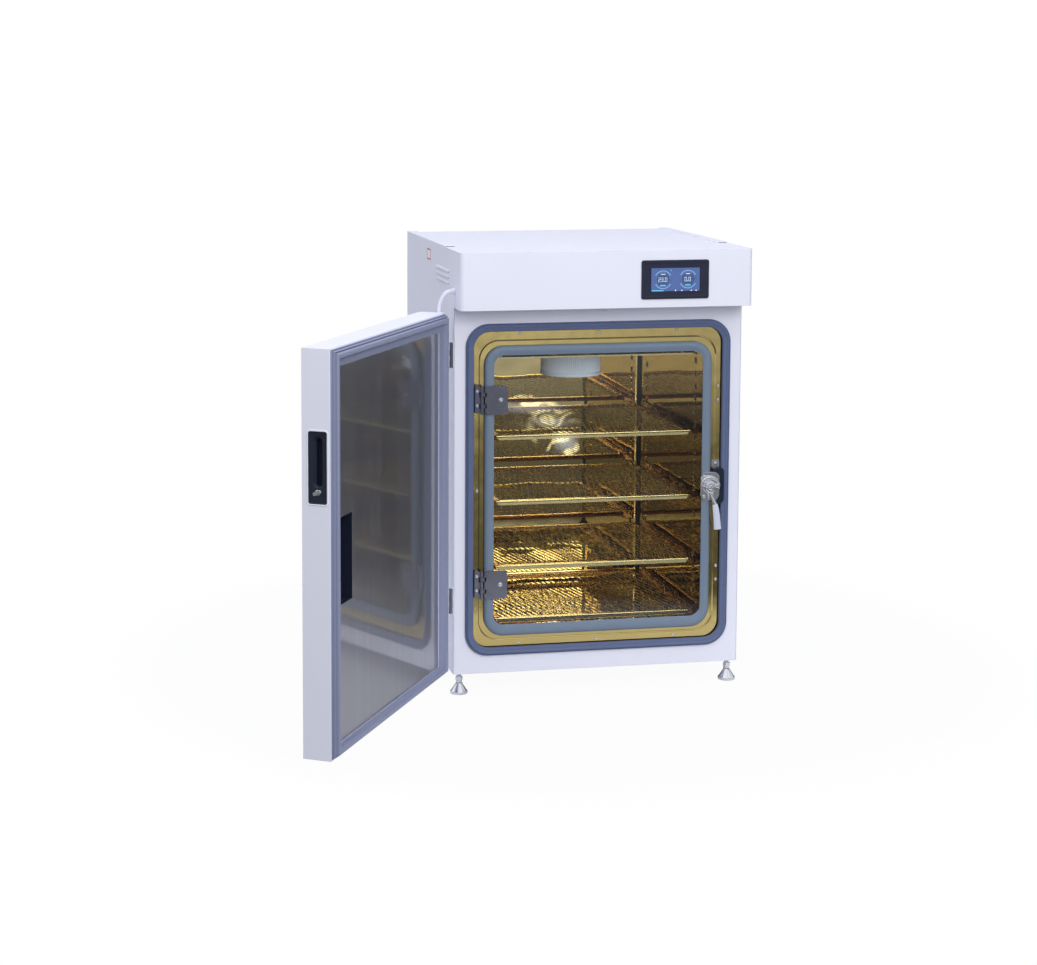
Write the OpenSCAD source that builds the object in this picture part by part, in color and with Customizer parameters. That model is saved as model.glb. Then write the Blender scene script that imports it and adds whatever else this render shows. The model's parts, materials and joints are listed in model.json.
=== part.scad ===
// Laboratory incubator: insulated cabinet with a heated, polished chamber, four mesh shelves,
// an inner glass door, an insulated outer door that swings on the left, and a control head.
// Units are millimetres. +Z is up, the front faces -Y, and the origin lies on the floor under
// the middle of the cabinet. The rest pose has the outer door open and the glass door shut.

/* [Cabinet] */
// Width over the side panels
body_w = 660; // [640:1:700]
// Depth from the front face to the rear panel
body_d = 560; // [550:1:620]
// Height of the cabinet with its control head
body_h = 948; // [940:1:980]
// Height of the levelling feet under the cabinet
foot_h = 47; // [40:1:55]
// Sheet thickness of the outer panels
sheet = 1.5; // [1:0.1:2]

/* [Control head] */
// Height of the head above the outer door
head_h = 126; // [120:1:132]
// How far the head stands out over the front face
head_d = 70; // [66:1:74]
// Width of the touch display's bezel
bezel_w = 154; // [140:1:170]
// Height of the touch display's bezel
bezel_h = 86; // [76:1:92]

/* [Outer door] */
// Thickness of the door's shell
door_t = 59; // [56:0.5:60]
// Angle at which the door stands open at rest
door_open = 121; // [95:1:135]
// Width of the door's gasket frame
gasket_w = 36; // [34:1:38]

/* [Chamber] */
// Inner width of the chamber
cham_w = 488; // [484:1:490]
// Inner depth of the chamber
cham_d = 505; // [495:1:508]
// Height of the chamber's floor above the cabinet's underside
cham_z0 = 96; // [94:1:98]
// Height of the chamber's ceiling above the cabinet's underside
cham_z1 = 728; // [724:1:732]
// Sheet thickness of the chamber walls
liner = 1.2; // [1:0.1:1.5]
// Vertical pitch of the slots that carry the shelf runners
slot_pitch = 29.5; // [28:0.5:30]

/* [Shelves] */
// Width of a shelf
shelf_w = 450; // [440:1:452]
// Depth of a shelf
shelf_d = 407; // [380:1:410]
// Height of a shelf's front lip
lip_h = 10; // [8:0.5:11]

/* [Hidden] */
hw = body_w / 2;
head_z = body_h - head_h;
door_z0 = 5;
door_z1 = head_z - 9;
door_hw = hw - 1;
door_in = 14;
door_out = door_in + door_t;
panel_y = 16;
pivot_x = -337;
pivot_y = -3;
glass_px = -268.5;
glass_py = -10;
latch_x = 256;
latch_z = 406.7;
latch_y = -11;
chw = cham_w / 2;
flange_y = 4;
keeper_t = 1.4;
shelf_y = 38;
shelf_z = [529, 381.5, 234, 114];
slot_z0 = 148;
slot_count = 19;
slot_w = 12;
slot_h = 11;
glass_hinge_z = [585, 170.5];
door_hinge_z = [691, 141];
rail_w = 24;
rail_t = 2.5;
rail_y = 105;
head_r = 10;
switch_x = 8;
switch_y = -35;
foot_x = 313;
foot_y = 18;
grip_y = -40;
lock_z = 533;
lead_y = -10;
lead_z = 860;
cuff_y = -30;
cuff_z = 765;
lead_r = 4.3;
lead_sides = 12;
// Points along the lead's middle, from the gland on the head to the cuff on the open door.
lead = [[-334, -10, 860], [-341, -10, 860], [-347, -9.5, 858.5], [-352, -8, 854.5], [-356, -5.5, 848.5],
  [-359, -2, 841], [-361, 2, 832], [-361.8, 6, 822], [-361.2, 9.5, 812], [-359.5, 12.5, 802],
  [-357.5, 16, 793], [-355.7, 18.8, 785], [-354.9, 20, 777.5], [-355.6, 18.8, 771], [-358, 15, 766.8],
  [-360.8, 10.2, 765.2], [-363, 6.4, 765]];
eps = 0.2;
steel_grey = [0.62, 0.63, 0.66];
white_paint = [0.88, 0.89, 0.95];
gold = [0.78, 0.66, 0.38];
chrome = [0.85, 0.86, 0.88];
slate = [0.33, 0.38, 0.5];
slate_light = [0.44, 0.5, 0.6];
black = [0.06, 0.07, 0.1];

// Direction of the lead at one of its points.
function along(i) =
  let (d = lead[min(i + 1, len(lead) - 1)] - lead[max(i - 1, 0)]) d / norm(d);

// Sideways direction of the lead's ring at one of its points, square to the lead.
function across(i) =
  let (c = cross(along(i), [0.86, -0.51, 0])) c / norm(c);

// Point on the skin of the lead: ring i, corner k.
function ring_point(i, k) =
  let (u = across(i), v = cross(along(i), u), a = 360 * k / lead_sides)
  lead[i] + lead_r * (cos(a) * u + sin(a) * v);

// Places a part drawn from the cabinet's front face and underside.
module cab() {
  translate([0, -body_d / 2, foot_h]) children();
}

// Turns a part drawn with the outer door shut to the angle at which it stands open.
module open_door() {
  translate([pivot_x, pivot_y, 0]) rotate([0, 0, -door_open]) translate([-pivot_x, -pivot_y, 0]) children();
}

// Box between two corners.
module slab(a, b) {
  translate(a) cube([b[0] - a[0], b[1] - a[1], b[2] - a[2]]);
}

// Rounded rectangle in the XZ plane, from a low to a high corner, between two depths.
module plate_xz(x0, x1, z0, z1, r, y0, y1) {
  translate([0, y1, 0]) rotate([90, 0, 0]) linear_extrude(y1 - y0) round_rect(x0, x1, z0, z1, r);
}

// Flat rounded rectangle.
module round_rect(x0, x1, z0, z1, r) {
  union() {
    translate([x0 + r, z0]) square([x1 - x0 - 2 * r, z1 - z0]);
    translate([x0, z0 + r]) square([x1 - x0, z1 - z0 - 2 * r]);
    for (x = [x0 + r, x1 - r], z = [z0 + r, z1 - r]) translate([x, z]) circle(r, $fn = 64);
  }
}

// Rounded frame in the XZ plane: an outer and an inner rounded rectangle between two depths.
module ring_xz(o, i, ro, ri, y0, y1) {
  translate([0, y1, 0]) rotate([90, 0, 0]) linear_extrude(y1 - y0) difference() {
    round_rect(o[0], o[1], o[2], o[3], ro);
    round_rect(i[0], i[1], i[2], i[3], ri);
  }
}

// Cylinder along Y between two depths.
module rod_y(x, z, r, y0, y1) {
  translate([x, y1, z]) rotate([90, 0, 0]) cylinder(h = y1 - y0, r = r, $fn = 48);
}

// Upright cylinder between two heights.
module rod_z(x, y, r, z0, z1) {
  translate([x, y, z0]) cylinder(h = z1 - z0, r = r, $fn = 48);
}

// ---- Cabinet shell ----

// One side panel with the raised rail along its top edge; s is -1 on the left and 1 on the right.
module side_panel(s) {
  x0 = s < 0 ? -hw : hw - sheet;
  rail_x = s < 0 ? -hw : hw - rail_w;
  lip_x = s < 0 ? -hw + rail_w - sheet : hw - rail_w;
  color(white_paint) cab() difference() {
    union() {
      slab([x0, 5.2, 0], [x0 + sheet, body_d, body_h - sheet - eps]);
      slab([x0, 0, 0], [x0 + sheet, 5.2, head_z - eps]);
      slab([x0, rail_y, body_h - 5], [x0 + sheet, body_d, body_h + rail_t]);
      slab([rail_x, rail_y, body_h + rail_t - sheet], [rail_x + rail_w, body_d, body_h + rail_t]);
      slab([lip_x, rail_y, body_h - 3], [lip_x + sheet, body_d, body_h + rail_t]);
    }
    if (s < 0) for (k = [0 : 2]) slab([-hw - 1, 55, 871 + k * 13], [-hw + sheet + 1, 192, 874 + k * 13]);
  }
}

// Left side panel with three vent slots beside the head.
module side_left() {
  side_panel(-1);
}

// Right side panel.
module side_right() {
  side_panel(1);
}

// Plan of the head: square at the back, with rounded front corners.
module head_outline(w, d, r) {
  union() {
    translate([-w, -d + r]) square([2 * w, d - r + 5]);
    translate([-w + r, -d]) square([2 * (w - r), r + 1]);
    for (x = [-w + r, w - r]) translate([x, -d + r]) circle(r, $fn = 64);
  }
}

// Control head and top panel pressed from one sheet.
module top_cover() {
  color(white_paint) cab() difference() {
    union() {
      translate([0, 0, head_z]) linear_extrude(head_h) head_outline(hw, head_d, head_r);
      slab([-hw + rail_w + eps, 4, body_h - sheet], [hw - rail_w - eps, body_d - sheet - eps, body_h]);
      slab([-hw, 4, body_h - sheet], [hw, rail_y - eps, body_h]);
    }
    translate([0, 0, head_z + sheet]) linear_extrude(head_h - 2 * sheet)
      head_outline(hw - sheet, head_d - sheet, head_r - sheet);
    slab([-hw + 5, -0.5, head_z - 1], [hw - 5, 6, head_z + sheet + 1]);
    plate_xz(79, 223, 845, 921, 2, -head_d - 1, -head_d + sheet + 1);
    rod_z(switch_x, switch_y, 3.3, head_z - 1, head_z + sheet + 1);
    translate([-hw - 1, lead_y, lead_z]) rotate([0, 90, 0]) cylinder(h = sheet + 2, r = 4.6, $fn = 40);
  }
}

// Rear panel with cut-outs for the mains inlet, the gas ports and the access port.
module rear_panel() {
  color(white_paint) cab() difference() {
    slab([-hw + sheet + eps, body_d - sheet, 2.2], [hw - sheet - eps, body_d, body_h - 4.4]);
    slab([-258, body_d - 3, 846], [-222, body_d + 1, 894]);
    slab([-206, body_d - 3, 856], [-184, body_d + 1, 884]);
    for (x = [150, 190])
      translate([x, body_d + 1, 870]) rotate([90, 0, 0]) cylinder(h = 4, r = 7.1, $fn = 48);
    translate([-170, body_d + 1, 560]) rotate([90, 0, 0]) cylinder(h = 4, r = 23.1, $fn = 64);
    for (k = [0 : 5]) slab([-60, body_d - 3, 850 + k * 9], [60, body_d + 1, 853 + k * 9]);
  }
}

// Base plate that the levelling feet stand in.
module base_panel() {
  color(white_paint) cab() difference() {
    slab([-hw + sheet + eps, sheet + eps, 0], [hw - sheet - eps, body_d, 2]);
    for (x = [-foot_x, foot_x], y = [foot_y, body_d - foot_y])
      translate([x, y, -1]) cylinder(h = 4, r = 4.58, $fn = 48);
  }
}

// Painted front face around the chamber's mouth.
module front_frame() {
  color(white_paint) cab() ring_xz([-hw + sheet + eps, hw - sheet - eps, 0, head_z - 0.5],
    [-292, 292, 52, 776], 1, 44, 0, sheet);
}

// Bezel of the touch display.
module display_bezel() {
  color(black) cab() difference() {
    union() {
      plate_xz(151 - bezel_w / 2, 151 + bezel_w / 2, 883.5 - bezel_h / 2, 883.5 + bezel_h / 2, 4,
        -head_d - 3.5, -head_d - 0.05);
      plate_xz(80, 222, 846, 920, 1.5, -head_d - 0.05, -head_d + 14);
    }
    plate_xz(96, 206.5, 852, 915, 1, -head_d - 4, -head_d - 1.4);
    slab([84, -head_d + 1, 850], [218, -head_d + 15, 916]);
  }
}

// Glass of the touch display.
module display_screen() {
  color([0.2, 0.35, 0.65]) cab() plate_xz(96.2, 206.3, 852.2, 914.8, 0.8, -head_d - 2.6, -head_d - 1.45);
}

// Control board behind the display.
module control_board() {
  color([0.1, 0.35, 0.2]) cab() union() {
    slab([-60, -20, 836], [70, -18.4, 930]);
    slab([-40, -18.4, 860], [-10, -8, 890]);
    for (k = [0 : 3]) slab([8 + k * 14, -18.4, 900], [17 + k * 14, -10, 912]);
  }
}

// Sprung plunger of the door switch under the head.
module door_switch() {
  color(white_paint) cab() union() {
    rod_z(switch_x, switch_y, 3, door_z1 + 0.5, head_z + 14);
    rod_z(switch_x, switch_y, 5, head_z + sheet + eps, head_z + 5);
  }
}

// Housing of the door switch inside the head.
module switch_housing() {
  color(black) cab() difference() {
    slab([switch_x - 9, switch_y - 8, head_z + 12], [switch_x + 9, switch_y + 8, head_z + 34]);
    rod_z(switch_x, switch_y, 3.3, head_z + 11, head_z + 24);
  }
}

// Plain label plate on the left side.
module side_label() {
  color([0.95, 0.95, 0.97]) cab() slab([-hw - 0.4, 263, 904], [-hw, 304, 931]);
}

// ---- Chamber ----

// Side wall of the chamber with two columns of slots for the shelf runners.
module chamber_side(s) {
  x0 = s < 0 ? -chw - liner : chw;
  color(gold) cab() difference() {
    slab([x0, flange_y + liner, cham_z0], [x0 + liner, cham_d, cham_z1]);
    for (y = [62, 440], k = [0 : slot_count - 1])
      slab([x0 - 1, y - slot_w / 2, slot_z0 + k * slot_pitch],
        [x0 + liner + 1, y + slot_w / 2, slot_z0 + slot_h + k * slot_pitch]);
    if (s < 0) translate([x0 - 1, 380, 560]) rotate([0, 90, 0]) cylinder(h = 4, r = 5, $fn = 32);
  }
}

// Left wall of the chamber.
module chamber_left() {
  chamber_side(-1);
}

// Right wall of the chamber.
module chamber_right() {
  chamber_side(1);
}

// Ceiling of the chamber with the fan's shaft hole.
module chamber_ceiling() {
  color(gold) cab() difference() {
    slab([-chw - liner, flange_y + liner, cham_z1], [chw + liner, cham_d + liner, cham_z1 + liner]);
    translate([0, 250, cham_z1 - 1]) cylinder(h = 4, r = 9, $fn = 48);
  }
}

// Floor of the chamber.
module chamber_floor() {
  color(gold) cab()
    slab([-chw - liner, flange_y + liner, cham_z0 - liner], [chw + liner, cham_d + liner, cham_z0]);
}

// Back wall of the chamber with the access port's hole.
module chamber_back() {
  color(gold) cab() difference() {
    slab([-chw - liner, cham_d, cham_z0], [chw + liner, cham_d + liner, cham_z1]);
    translate([-170, cham_d + 3, 560]) rotate([90, 0, 0]) cylinder(h = 5, r = 21.1, $fn = 64);
  }
}

// Pressed flange that joins the chamber's mouth to the front face.
module chamber_flange() {
  color(gold) cab() union() {
    ring_xz([-298, 298, 46, 782], [-271, 271, 76, 747], 48, 44, flange_y, flange_y + liner);
    ring_xz([-272, 272, 75, 748], [-269.5, 269.5, 77.5, 745.5], 44, 42, flange_y, flange_y + 2);
    ring_xz([-270, 270, 77, 746], [-chw, chw, cham_z0, cham_z1], 42, 18, flange_y, flange_y + liner);
  }
}

// Foam insulation packed round the chamber.
module insulation() {
  color([0.86, 0.84, 0.7]) cab() union() {
    slab([-hw + 3, 8, 20], [-chw - 6, 545, 780]);
    slab([chw + 6, 8, 20], [hw - 3, 545, 780]);
    slab([-chw - 5, 8, 20], [chw + 5, 545, cham_z0 - 6]);
    difference() {
      slab([-chw - 5, 8, cham_z1 + 6], [chw + 5, 545, 780]);
      translate([0, 250, cham_z1]) cylinder(h = 60, r = 24, $fn = 48);
    }
    difference() {
      slab([-chw - 5, cham_d + 6, cham_z0 - 5], [chw + 5, 545, cham_z1 + 5]);
      translate([-170, 550, 560]) rotate([90, 0, 0]) cylinder(h = 50, r = 24, $fn = 48);
    }
  }
}

// Heating mats on the outside of the chamber walls.
module heater_mats() {
  color([0.75, 0.35, 0.15]) cab() union() {
    slab([-chw - 3.6, 30, 130], [-chw - 1.6, 480, 700]);
    slab([chw + 1.6, 30, 130], [chw + 3.6, 480, 700]);
    slab([-200, 40, cham_z0 - 4], [200, 470, cham_z0 - 2]);
    slab([-120, cham_d + 1.8, 130], [200, cham_d + 3.8, 690]);
  }
}

// Dome-headed screws round the flange.
module flange_screws() {
  color(chrome) cab() union() {
    for (p = [[-180, 762], [0, 762], [180, 762], [-180, 65.5], [0, 65.5], [180, 65.5], [-276, 413],
      [279.5, 633], [279.5, 601.5], [279.5, 222], [279.5, 190.5]]) screw_head(p[0], p[1], flange_y);
    screw_head(275, 457, flange_y - keeper_t);
  }
}

// Screw head on the flange: a disc under a smaller one.
module screw_head(x, z, y) {
  union() {
    rod_y(x, z, 3.2, y - 1.2, y);
    rod_y(x, z, 2, y - 2, y - 1.2);
  }
}

// Seal on the front face that the outer door closes on.
module door_seal() {
  color(slate) cab() union() {
    ring_xz([-303.5, 303.5, 41, 786], [-285, 285, 59, 768], 52, 36, -6, 0);
    ring_xz([-300, 300, 44.5, 782.5], [-288.5, 288.5, 55.5, 771.5], 49, 39, -9, -6);
  }
}

// ---- Shelves and air duct ----

// Angle-section runners that hook into the wall slots, one pair for each shelf.
module shelf_runners() {
  color(gold) cab() union() {
    for (z = shelf_z, s = [-1, 1]) {
      slab([s < 0 ? -chw + 3 : chw - 4.5, 52, z - 14], [s < 0 ? -chw + 4.5 : chw - 3, 474, z + 2]);
      slab([s < 0 ? -chw + 3 : chw - 26, 52, z - lip_h - 1.8],
        [s < 0 ? -chw + 26 : chw - 3, 474, z - lip_h - 0.3]);
      for (y = [62, 440])
        slab([s < 0 ? -chw + 0.2 : chw - 4, y - 1.5, z - 9],
          [s < 0 ? -chw + 4 : chw - 0.2, y + 1.5, z - 2]);
    }
  }
}

// One mesh shelf: a folded rim round a sheet pierced with staggered diamond openings.
module shelf(z) {
  nx = 9;
  ny = 8;
  px = (shelf_w - 20) / nx;
  py = (shelf_d - 20) / ny;
  color(gold) cab() difference() {
    union() {
      slab([-shelf_w / 2, shelf_y, z - 1.2], [shelf_w / 2, shelf_y + shelf_d, z]);
      slab([-shelf_w / 2, shelf_y, z - lip_h], [shelf_w / 2, shelf_y + 1.2, z]);
      slab([-shelf_w / 2, shelf_y + shelf_d - 1.2, z - lip_h], [shelf_w / 2, shelf_y + shelf_d, z]);
      for (x = [-shelf_w / 2, shelf_w / 2 - 1.2])
        slab([x, shelf_y, z - lip_h], [x + 1.2, shelf_y + shelf_d, z]);
    }
    for (i = [0 : nx - 1], j = [0 : ny - 1])
      translate([-shelf_w / 2 + 10 + (i + 0.5) * px, shelf_y + 10 + (j + 0.5) * py, z - 2])
        linear_extrude(4) polygon([[-px * 0.42, 0], [0, -py * 0.42], [px * 0.42, 0], [0, py * 0.42]]);
  }
}

// Top shelf.
module shelf_1() {
  shelf(shelf_z[0]);
}

// Second shelf.
module shelf_2() {
  shelf(shelf_z[1]);
}

// Third shelf.
module shelf_3() {
  shelf(shelf_z[2]);
}

// Bottom shelf.
module shelf_4() {
  shelf(shelf_z[3]);
}

// Air duct plate under the ceiling, with its folded front edge and the filter's opening.
module duct_plate() {
  color(gold) cab() difference() {
    union() {
      slab([-236, 26, 706], [236, 470, 707.2]);
      slab([-236, 26, 703.5], [236, 27.2, 707.2]);
      for (x = [-210, 210], y = [60, 440]) rod_z(x, y, 4, 707.2, cham_z1 - 0.05);
    }
    translate([0, 250, 700]) cylinder(h = 10, r = 55, $fn = 64);
  }
}

// Round pleated filter that hangs under the duct plate.
module filter_element() {
  color([0.93, 0.94, 0.96]) cab() difference() {
    union() {
      rod_z(0, 250, 69.5, 640, 700);
      rod_z(0, 250, 71.5, 634.5, 640);
      rod_z(0, 250, 71.5, 700, 705.9);
      for (a = [0 : 10 : 350])
        translate([0, 250, 640]) rotate([0, 0, a]) translate([69, -1, 0]) cube([2, 2, 60]);
    }
    rod_z(0, 250, 52, 638, 710);
  }
}

// Fan motor above the chamber's ceiling.
module fan_motor() {
  color([0.25, 0.26, 0.3]) cab() difference() {
    union() {
      rod_z(0, 250, 22, 734, 790);
      rod_z(0, 250, 34, 782, 840);
      rod_z(0, 250, 8, 840, 848);
    }
    rod_z(0, 250, 3.05, 730, 800);
  }
}

// Fan wheel in the duct with its shaft.
module fan_rotor() {
  color([0.8, 0.81, 0.84]) cab() union() {
    rod_z(0, 250, 3, 712, 798);
    rod_z(0, 250, 9, 710, 722);
    rod_z(0, 250, 48, 709.5, 711);
    for (a = [0 : 45 : 315])
      translate([0, 250, 711]) rotate([0, 0, a]) translate([8, -0.75, 0]) cube([38, 1.5, 12]);
  }
}

// ---- Glass door ----

// Pane of the inner door.
module glass_pane() {
  color([0.8, 0.9, 0.95, 0.3]) cab() plate_xz(-252, 252, 93, 727, 34, -4.5, 0.5);
}

// Channel seal round the pane.
module glass_seal() {
  color(slate_light) cab() difference() {
    union() {
      ring_xz([-261, 261, 84, 736.5], [-240, 240, 110, 715.5], 44, 24, -6, 3.6);
      ring_xz([-257, 257, 88.5, 732], [-244, 244, 105.5, 720], 40, 28, -8, -6);
    }
    plate_xz(-252.2, 252.2, 92.8, 727.2, 34.2, -4.7, 0.7);
  }
}

// Two hinge leaves on the glass door, each with its knuckles and screw.
module glass_hinge_door() {
  color(steel_grey) cab() union() {
    for (z0 = glass_hinge_z) {
      difference() {
        union() {
          plate_xz(-262, -210, z0, z0 + 64, 7, -11, -8.4);
          for (k = [[14, 24], [40, 50]]) {
            rod_z(glass_px, glass_py, 4.2, z0 + k[0], z0 + k[1]);
            slab([glass_px, -11, z0 + k[0]], [-258, -8.4, z0 + k[1]]);
          }
        }
        rod_z(glass_px, glass_py, 2.5, z0 - 1, z0 + 65);
      }
      rod_y(-226, z0 + 33, 6, -8.4, -4.55);
      screw_head(-226, z0 + 33, -11);
    }
  }
}

// Two hinge brackets on the flange with their pins and screws.
module glass_hinge_wall() {
  color(steel_grey) cab() union() {
    for (z0 = glass_hinge_z) {
      slab([-284.5, -10.5, z0 + 3], [-274.5, flange_y, z0 + 66.5]);
      for (k = [[3, 13.5], [24.5, 39.5], [50.5, 63.5]]) {
        rod_z(glass_px, glass_py, 4.2, z0 + k[0], z0 + k[1]);
        slab([-275, -11, z0 + k[0]], [glass_px, -8.4, z0 + k[1]]);
      }
      rod_z(glass_px, glass_py, 2.46, z0, z0 + 64.5);
      for (k = [21, 53]) screw_head(-279.5, z0 + k, -10.5);
    }
  }
}

// Base plate of the latch on the glass door.
module latch_base() {
  color(chrome) cab() union() {
    plate_xz(236, 280, 375, 440, 12, latch_y, -8.1);
    rod_y(latch_x, latch_z, 15, latch_y - 4, latch_y);
    for (z = [385, 429]) screw_head(243.5, z, latch_y);
  }
}

// Lever of the latch: hub, curved cam and a tapering handle.
module latch_handle() {
  color(chrome) cab() union() {
    rod_y(latch_x, latch_z, 12, latch_y - 14, latch_y - 4.2);
    difference() {
      rod_y(latch_x, latch_z, 25, latch_y - 9, latch_y - 5);
      rod_y(latch_x, latch_z, 18, latch_y - 10, latch_y - 4.5);
      slab([latch_x - 40, latch_y - 11, latch_z - 40], [latch_x + 40, latch_y - 4, latch_z - 2]);
    }
    slab([latch_x - 9, latch_y - 9, latch_z - 2], [latch_x + 25, latch_y - 5, latch_z + 7]);
    translate([latch_x + 2, latch_y - 9, latch_z - 6]) rotate([0, -9, 0]) slab([-6, -5, -34], [8, 4, 0]);
    translate([latch_x + 8, latch_y - 9, latch_z - 36]) rotate([0, -7, 0])
      slab([-6.5, -8, -60], [7.5, 0, 2]);
  }
}

// Keeper block for the latch on the flange.
module latch_keeper() {
  color(black) cab() difference() {
    plate_xz(264.5, 284.5, 372, 446, 6, -7.6, flange_y);
    plate_xz(268, 277, 384, 434, 3, -8, -2);
  }
}

// Strike plate above the keeper.
module keeper_plate() {
  color(chrome) cab() plate_xz(265, 284, 447, 465, 2, flange_y - keeper_t, flange_y);
}

// ---- Outer door ----

// White shell of the outer door: a tray open to the chamber side.
module door_shell() {
  color(white_paint) cab() open_door() difference() {
    slab([-door_hw, -door_out, door_z0], [door_hw, -door_in, door_z1]);
    slab([-door_hw + 1.5, -door_out + 1.5, door_z0 + 1.5], [door_hw - 1.5, -door_in - 1.5, door_z1 - 1.5]);
    slab([-290, -door_in - 2, door_z0 + 25], [290, -door_in + 1, door_z1 - 40]);
    slab([door_hw - 2, grip_y - 20.2, 510], [door_hw + 1, grip_y + 20.2, 653]);
    translate([-door_hw - 1, cuff_y, cuff_z]) rotate([0, 90, 0]) cylinder(h = 3, r = 5, $fn = 40);
  }
}

// Foam core of the outer door.
module door_insulation() {
  color([0.86, 0.84, 0.7]) cab() open_door() difference() {
    slab([-door_hw + 2, -door_out + 2, door_z0 + 2], [door_hw - 2, -door_in - 6, door_z1 - 2]);
    slab([206, -46, 296], [306, -10, 480]);
    slab([door_hw - 24, grip_y - 23, 500], [door_hw + 1, grip_y + 23, 662]);
    slab([-door_hw - 1, cuff_y - 8, cuff_z - 8], [-door_hw + 12, cuff_y + 8, cuff_z + 8]);
  }
}

// Brushed inner panel of the outer door.
module door_panel() {
  color(steel_grey) cab() open_door() difference() {
    slab([-289.8, -panel_y - 1, door_z0 + 25.2], [289.8, -panel_y, door_z1 - 40.2]);
    slab([212, -panel_y - 2, 302], [287, -panel_y + 1, 476]);
  }
}

// Dark pocket in the panel that clears the latch when the door shuts.
module door_pocket() {
  color(black) cab() open_door() difference() {
    slab([212.1, -44, 302.1], [286.9, -panel_y, 475.9]);
    slab([213.3, -42.8, 303.3], [285.7, -panel_y + 1, 474.7]);
  }
}

// Magnetic gasket frame on the outer door, stepped towards the panel.
module door_gasket() {
  color([0.6, 0.62, 0.75]) cab() open_door() union() {
    frame_step(door_hw - 3, door_z0 + 3, door_z1 - 3, 290, door_z0 + 25, door_z1 - 40, -door_in, -10.2);
    frame_step(door_hw - 6, door_z0 + 6, door_z1 - 6, 306, door_z0 + 19, door_z1 - 24, -10.2, -5);
    frame_step(door_hw - 10, door_z0 + 9, door_z1 - 10, 307.5, door_z0 + 18, door_z1 - 22, -5, -0.4);
  }
}

// One step of the gasket: a square frame between two depths.
module frame_step(xo, zo0, zo1, xi, zi0, zi1, y0, y1) {
  difference() {
    slab([-xo, y0, zo0], [xo, y1, zo1]);
    slab([-xi, y0 - 1, zi0], [xi, y1 + 1, zi1]);
  }
}

// Recessed grip in the door's free edge.
module handle_cup() {
  color(black) cab() open_door() difference() {
    slab([door_hw - 20, grip_y - 20, 510.2], [door_hw + 0.8, grip_y + 20, 652.8]);
    slab([door_hw - 18, grip_y - 11, 545], [door_hw + 2, grip_y + 11, 643]);
    translate([door_hw - 21, grip_y, lock_z]) rotate([0, 90, 0]) cylinder(h = 24, r = 6.06, $fn = 48);
  }
}

// Lock cylinder at the foot of the grip, with its key slot.
module door_lock() {
  color(chrome) cab() open_door() difference() {
    translate([door_hw - 19, grip_y, lock_z]) rotate([0, 90, 0]) cylinder(h = 21, r = 6, $fn = 48);
    slab([door_hw - 4, grip_y - 0.8, lock_z - 3.5], [door_hw + 3, grip_y + 0.8, lock_z + 3.5]);
  }
}

// Knuckles and leaves of the outer door's two hinges on the door.
module door_hinge_door() {
  color(steel_grey) cab() open_door() union() {
    for (z0 = door_hinge_z) {
      slab([-door_hw - 2, -42, z0], [-door_hw, -4.5, z0 + 56]);
      difference() {
        union() {
          for (k = [[14.5, 27], [41, 55]]) {
            rod_z(pivot_x, pivot_y, 5, z0 + k[0], z0 + k[1]);
            slab([pivot_x, -8, z0 + k[0]], [-door_hw, -4.5, z0 + k[1]]);
          }
        }
        rod_z(pivot_x, pivot_y, 3, z0 - 1, z0 + 58);
      }
    }
  }
}

// Knuckles, leaves and pins of the outer door's two hinges on the cabinet.
module door_hinge_body() {
  color(steel_grey) cab() union() {
    for (z0 = door_hinge_z) {
      slab([-hw - 2, 1, z0], [-hw, 24, z0 + 56]);
      for (k = [[0, 14], [27.5, 40.5]]) {
        rod_z(pivot_x, pivot_y, 5, z0 + k[0], z0 + k[1]);
        slab([pivot_x, -1.5, z0 + k[0]], [-hw - 0.5, 2, z0 + k[1]]);
      }
      rod_z(pivot_x, pivot_y, 2.95, z0, z0 + 56);
    }
  }
}

// ---- Lead between the head and the door ----

// Sheathed lead that feeds the door's heater, swept along its route.
module door_lead() {
  rings = len(lead);
  points = [for (i = [0 : rings - 1], k = [0 : lead_sides - 1]) ring_point(i, k)];
  sides = [for (i = [0 : rings - 2], k = [0 : lead_sides - 1], half = [0, 1])
    let (a = i * lead_sides, b = a + lead_sides, next = (k + 1) % lead_sides)
    half == 0 ? [a + k, b + k, b + next] : [a + k, b + next, a + next]];
  start = [for (k = [0 : lead_sides - 1]) k];
  end = [for (k = [lead_sides - 1 : -1 : 0]) (rings - 1) * lead_sides + k];
  color(white_paint) cab() polyhedron(points = points, faces = concat([start], sides, [end]));
}

// Gland where the lead leaves the head.
module lead_gland() {
  color(white_paint) cab() translate([-hw - 8, lead_y, lead_z]) rotate([0, 90, 0]) difference() {
    cylinder(h = 8, r = 6.8, $fn = 40);
    translate([0, 0, -1]) cylinder(h = 10, r = 4.6, $fn = 40);
  }
}

// Cuff where the lead enters the hinge side of the door.
module lead_cuff() {
  color(white_paint) cab() open_door() translate([-door_hw - 5, cuff_y, cuff_z])
    rotate([0, 90, 0]) difference() {
    cylinder(h = 5, r = 7.5, $fn = 40);
    translate([0, 0, -1]) cylinder(h = 7, r = 5, $fn = 40);
  }
}

// ---- Feet and rear fittings ----

// Levelling foot: threaded stem, nut and conical pad.
module foot(x, y) {
  color(chrome) cab() union() {
    rod_z(x, y, 4.5, -41, 18);
    translate([x, y, -16]) cylinder(h = 8, r = 8.5, $fn = 6);
    translate([x, y, -41]) cylinder(h = 21, r1 = 19, r2 = 7.5, $fn = 48);
    rod_z(x, y, 19.5, -foot_h, -41);
  }
}

// Front left foot.
module foot_fl() {
  foot(-foot_x, foot_y);
}

// Front right foot.
module foot_fr() {
  foot(foot_x, foot_y);
}

// Rear left foot.
module foot_rl() {
  foot(-foot_x, body_d - foot_y);
}

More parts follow.
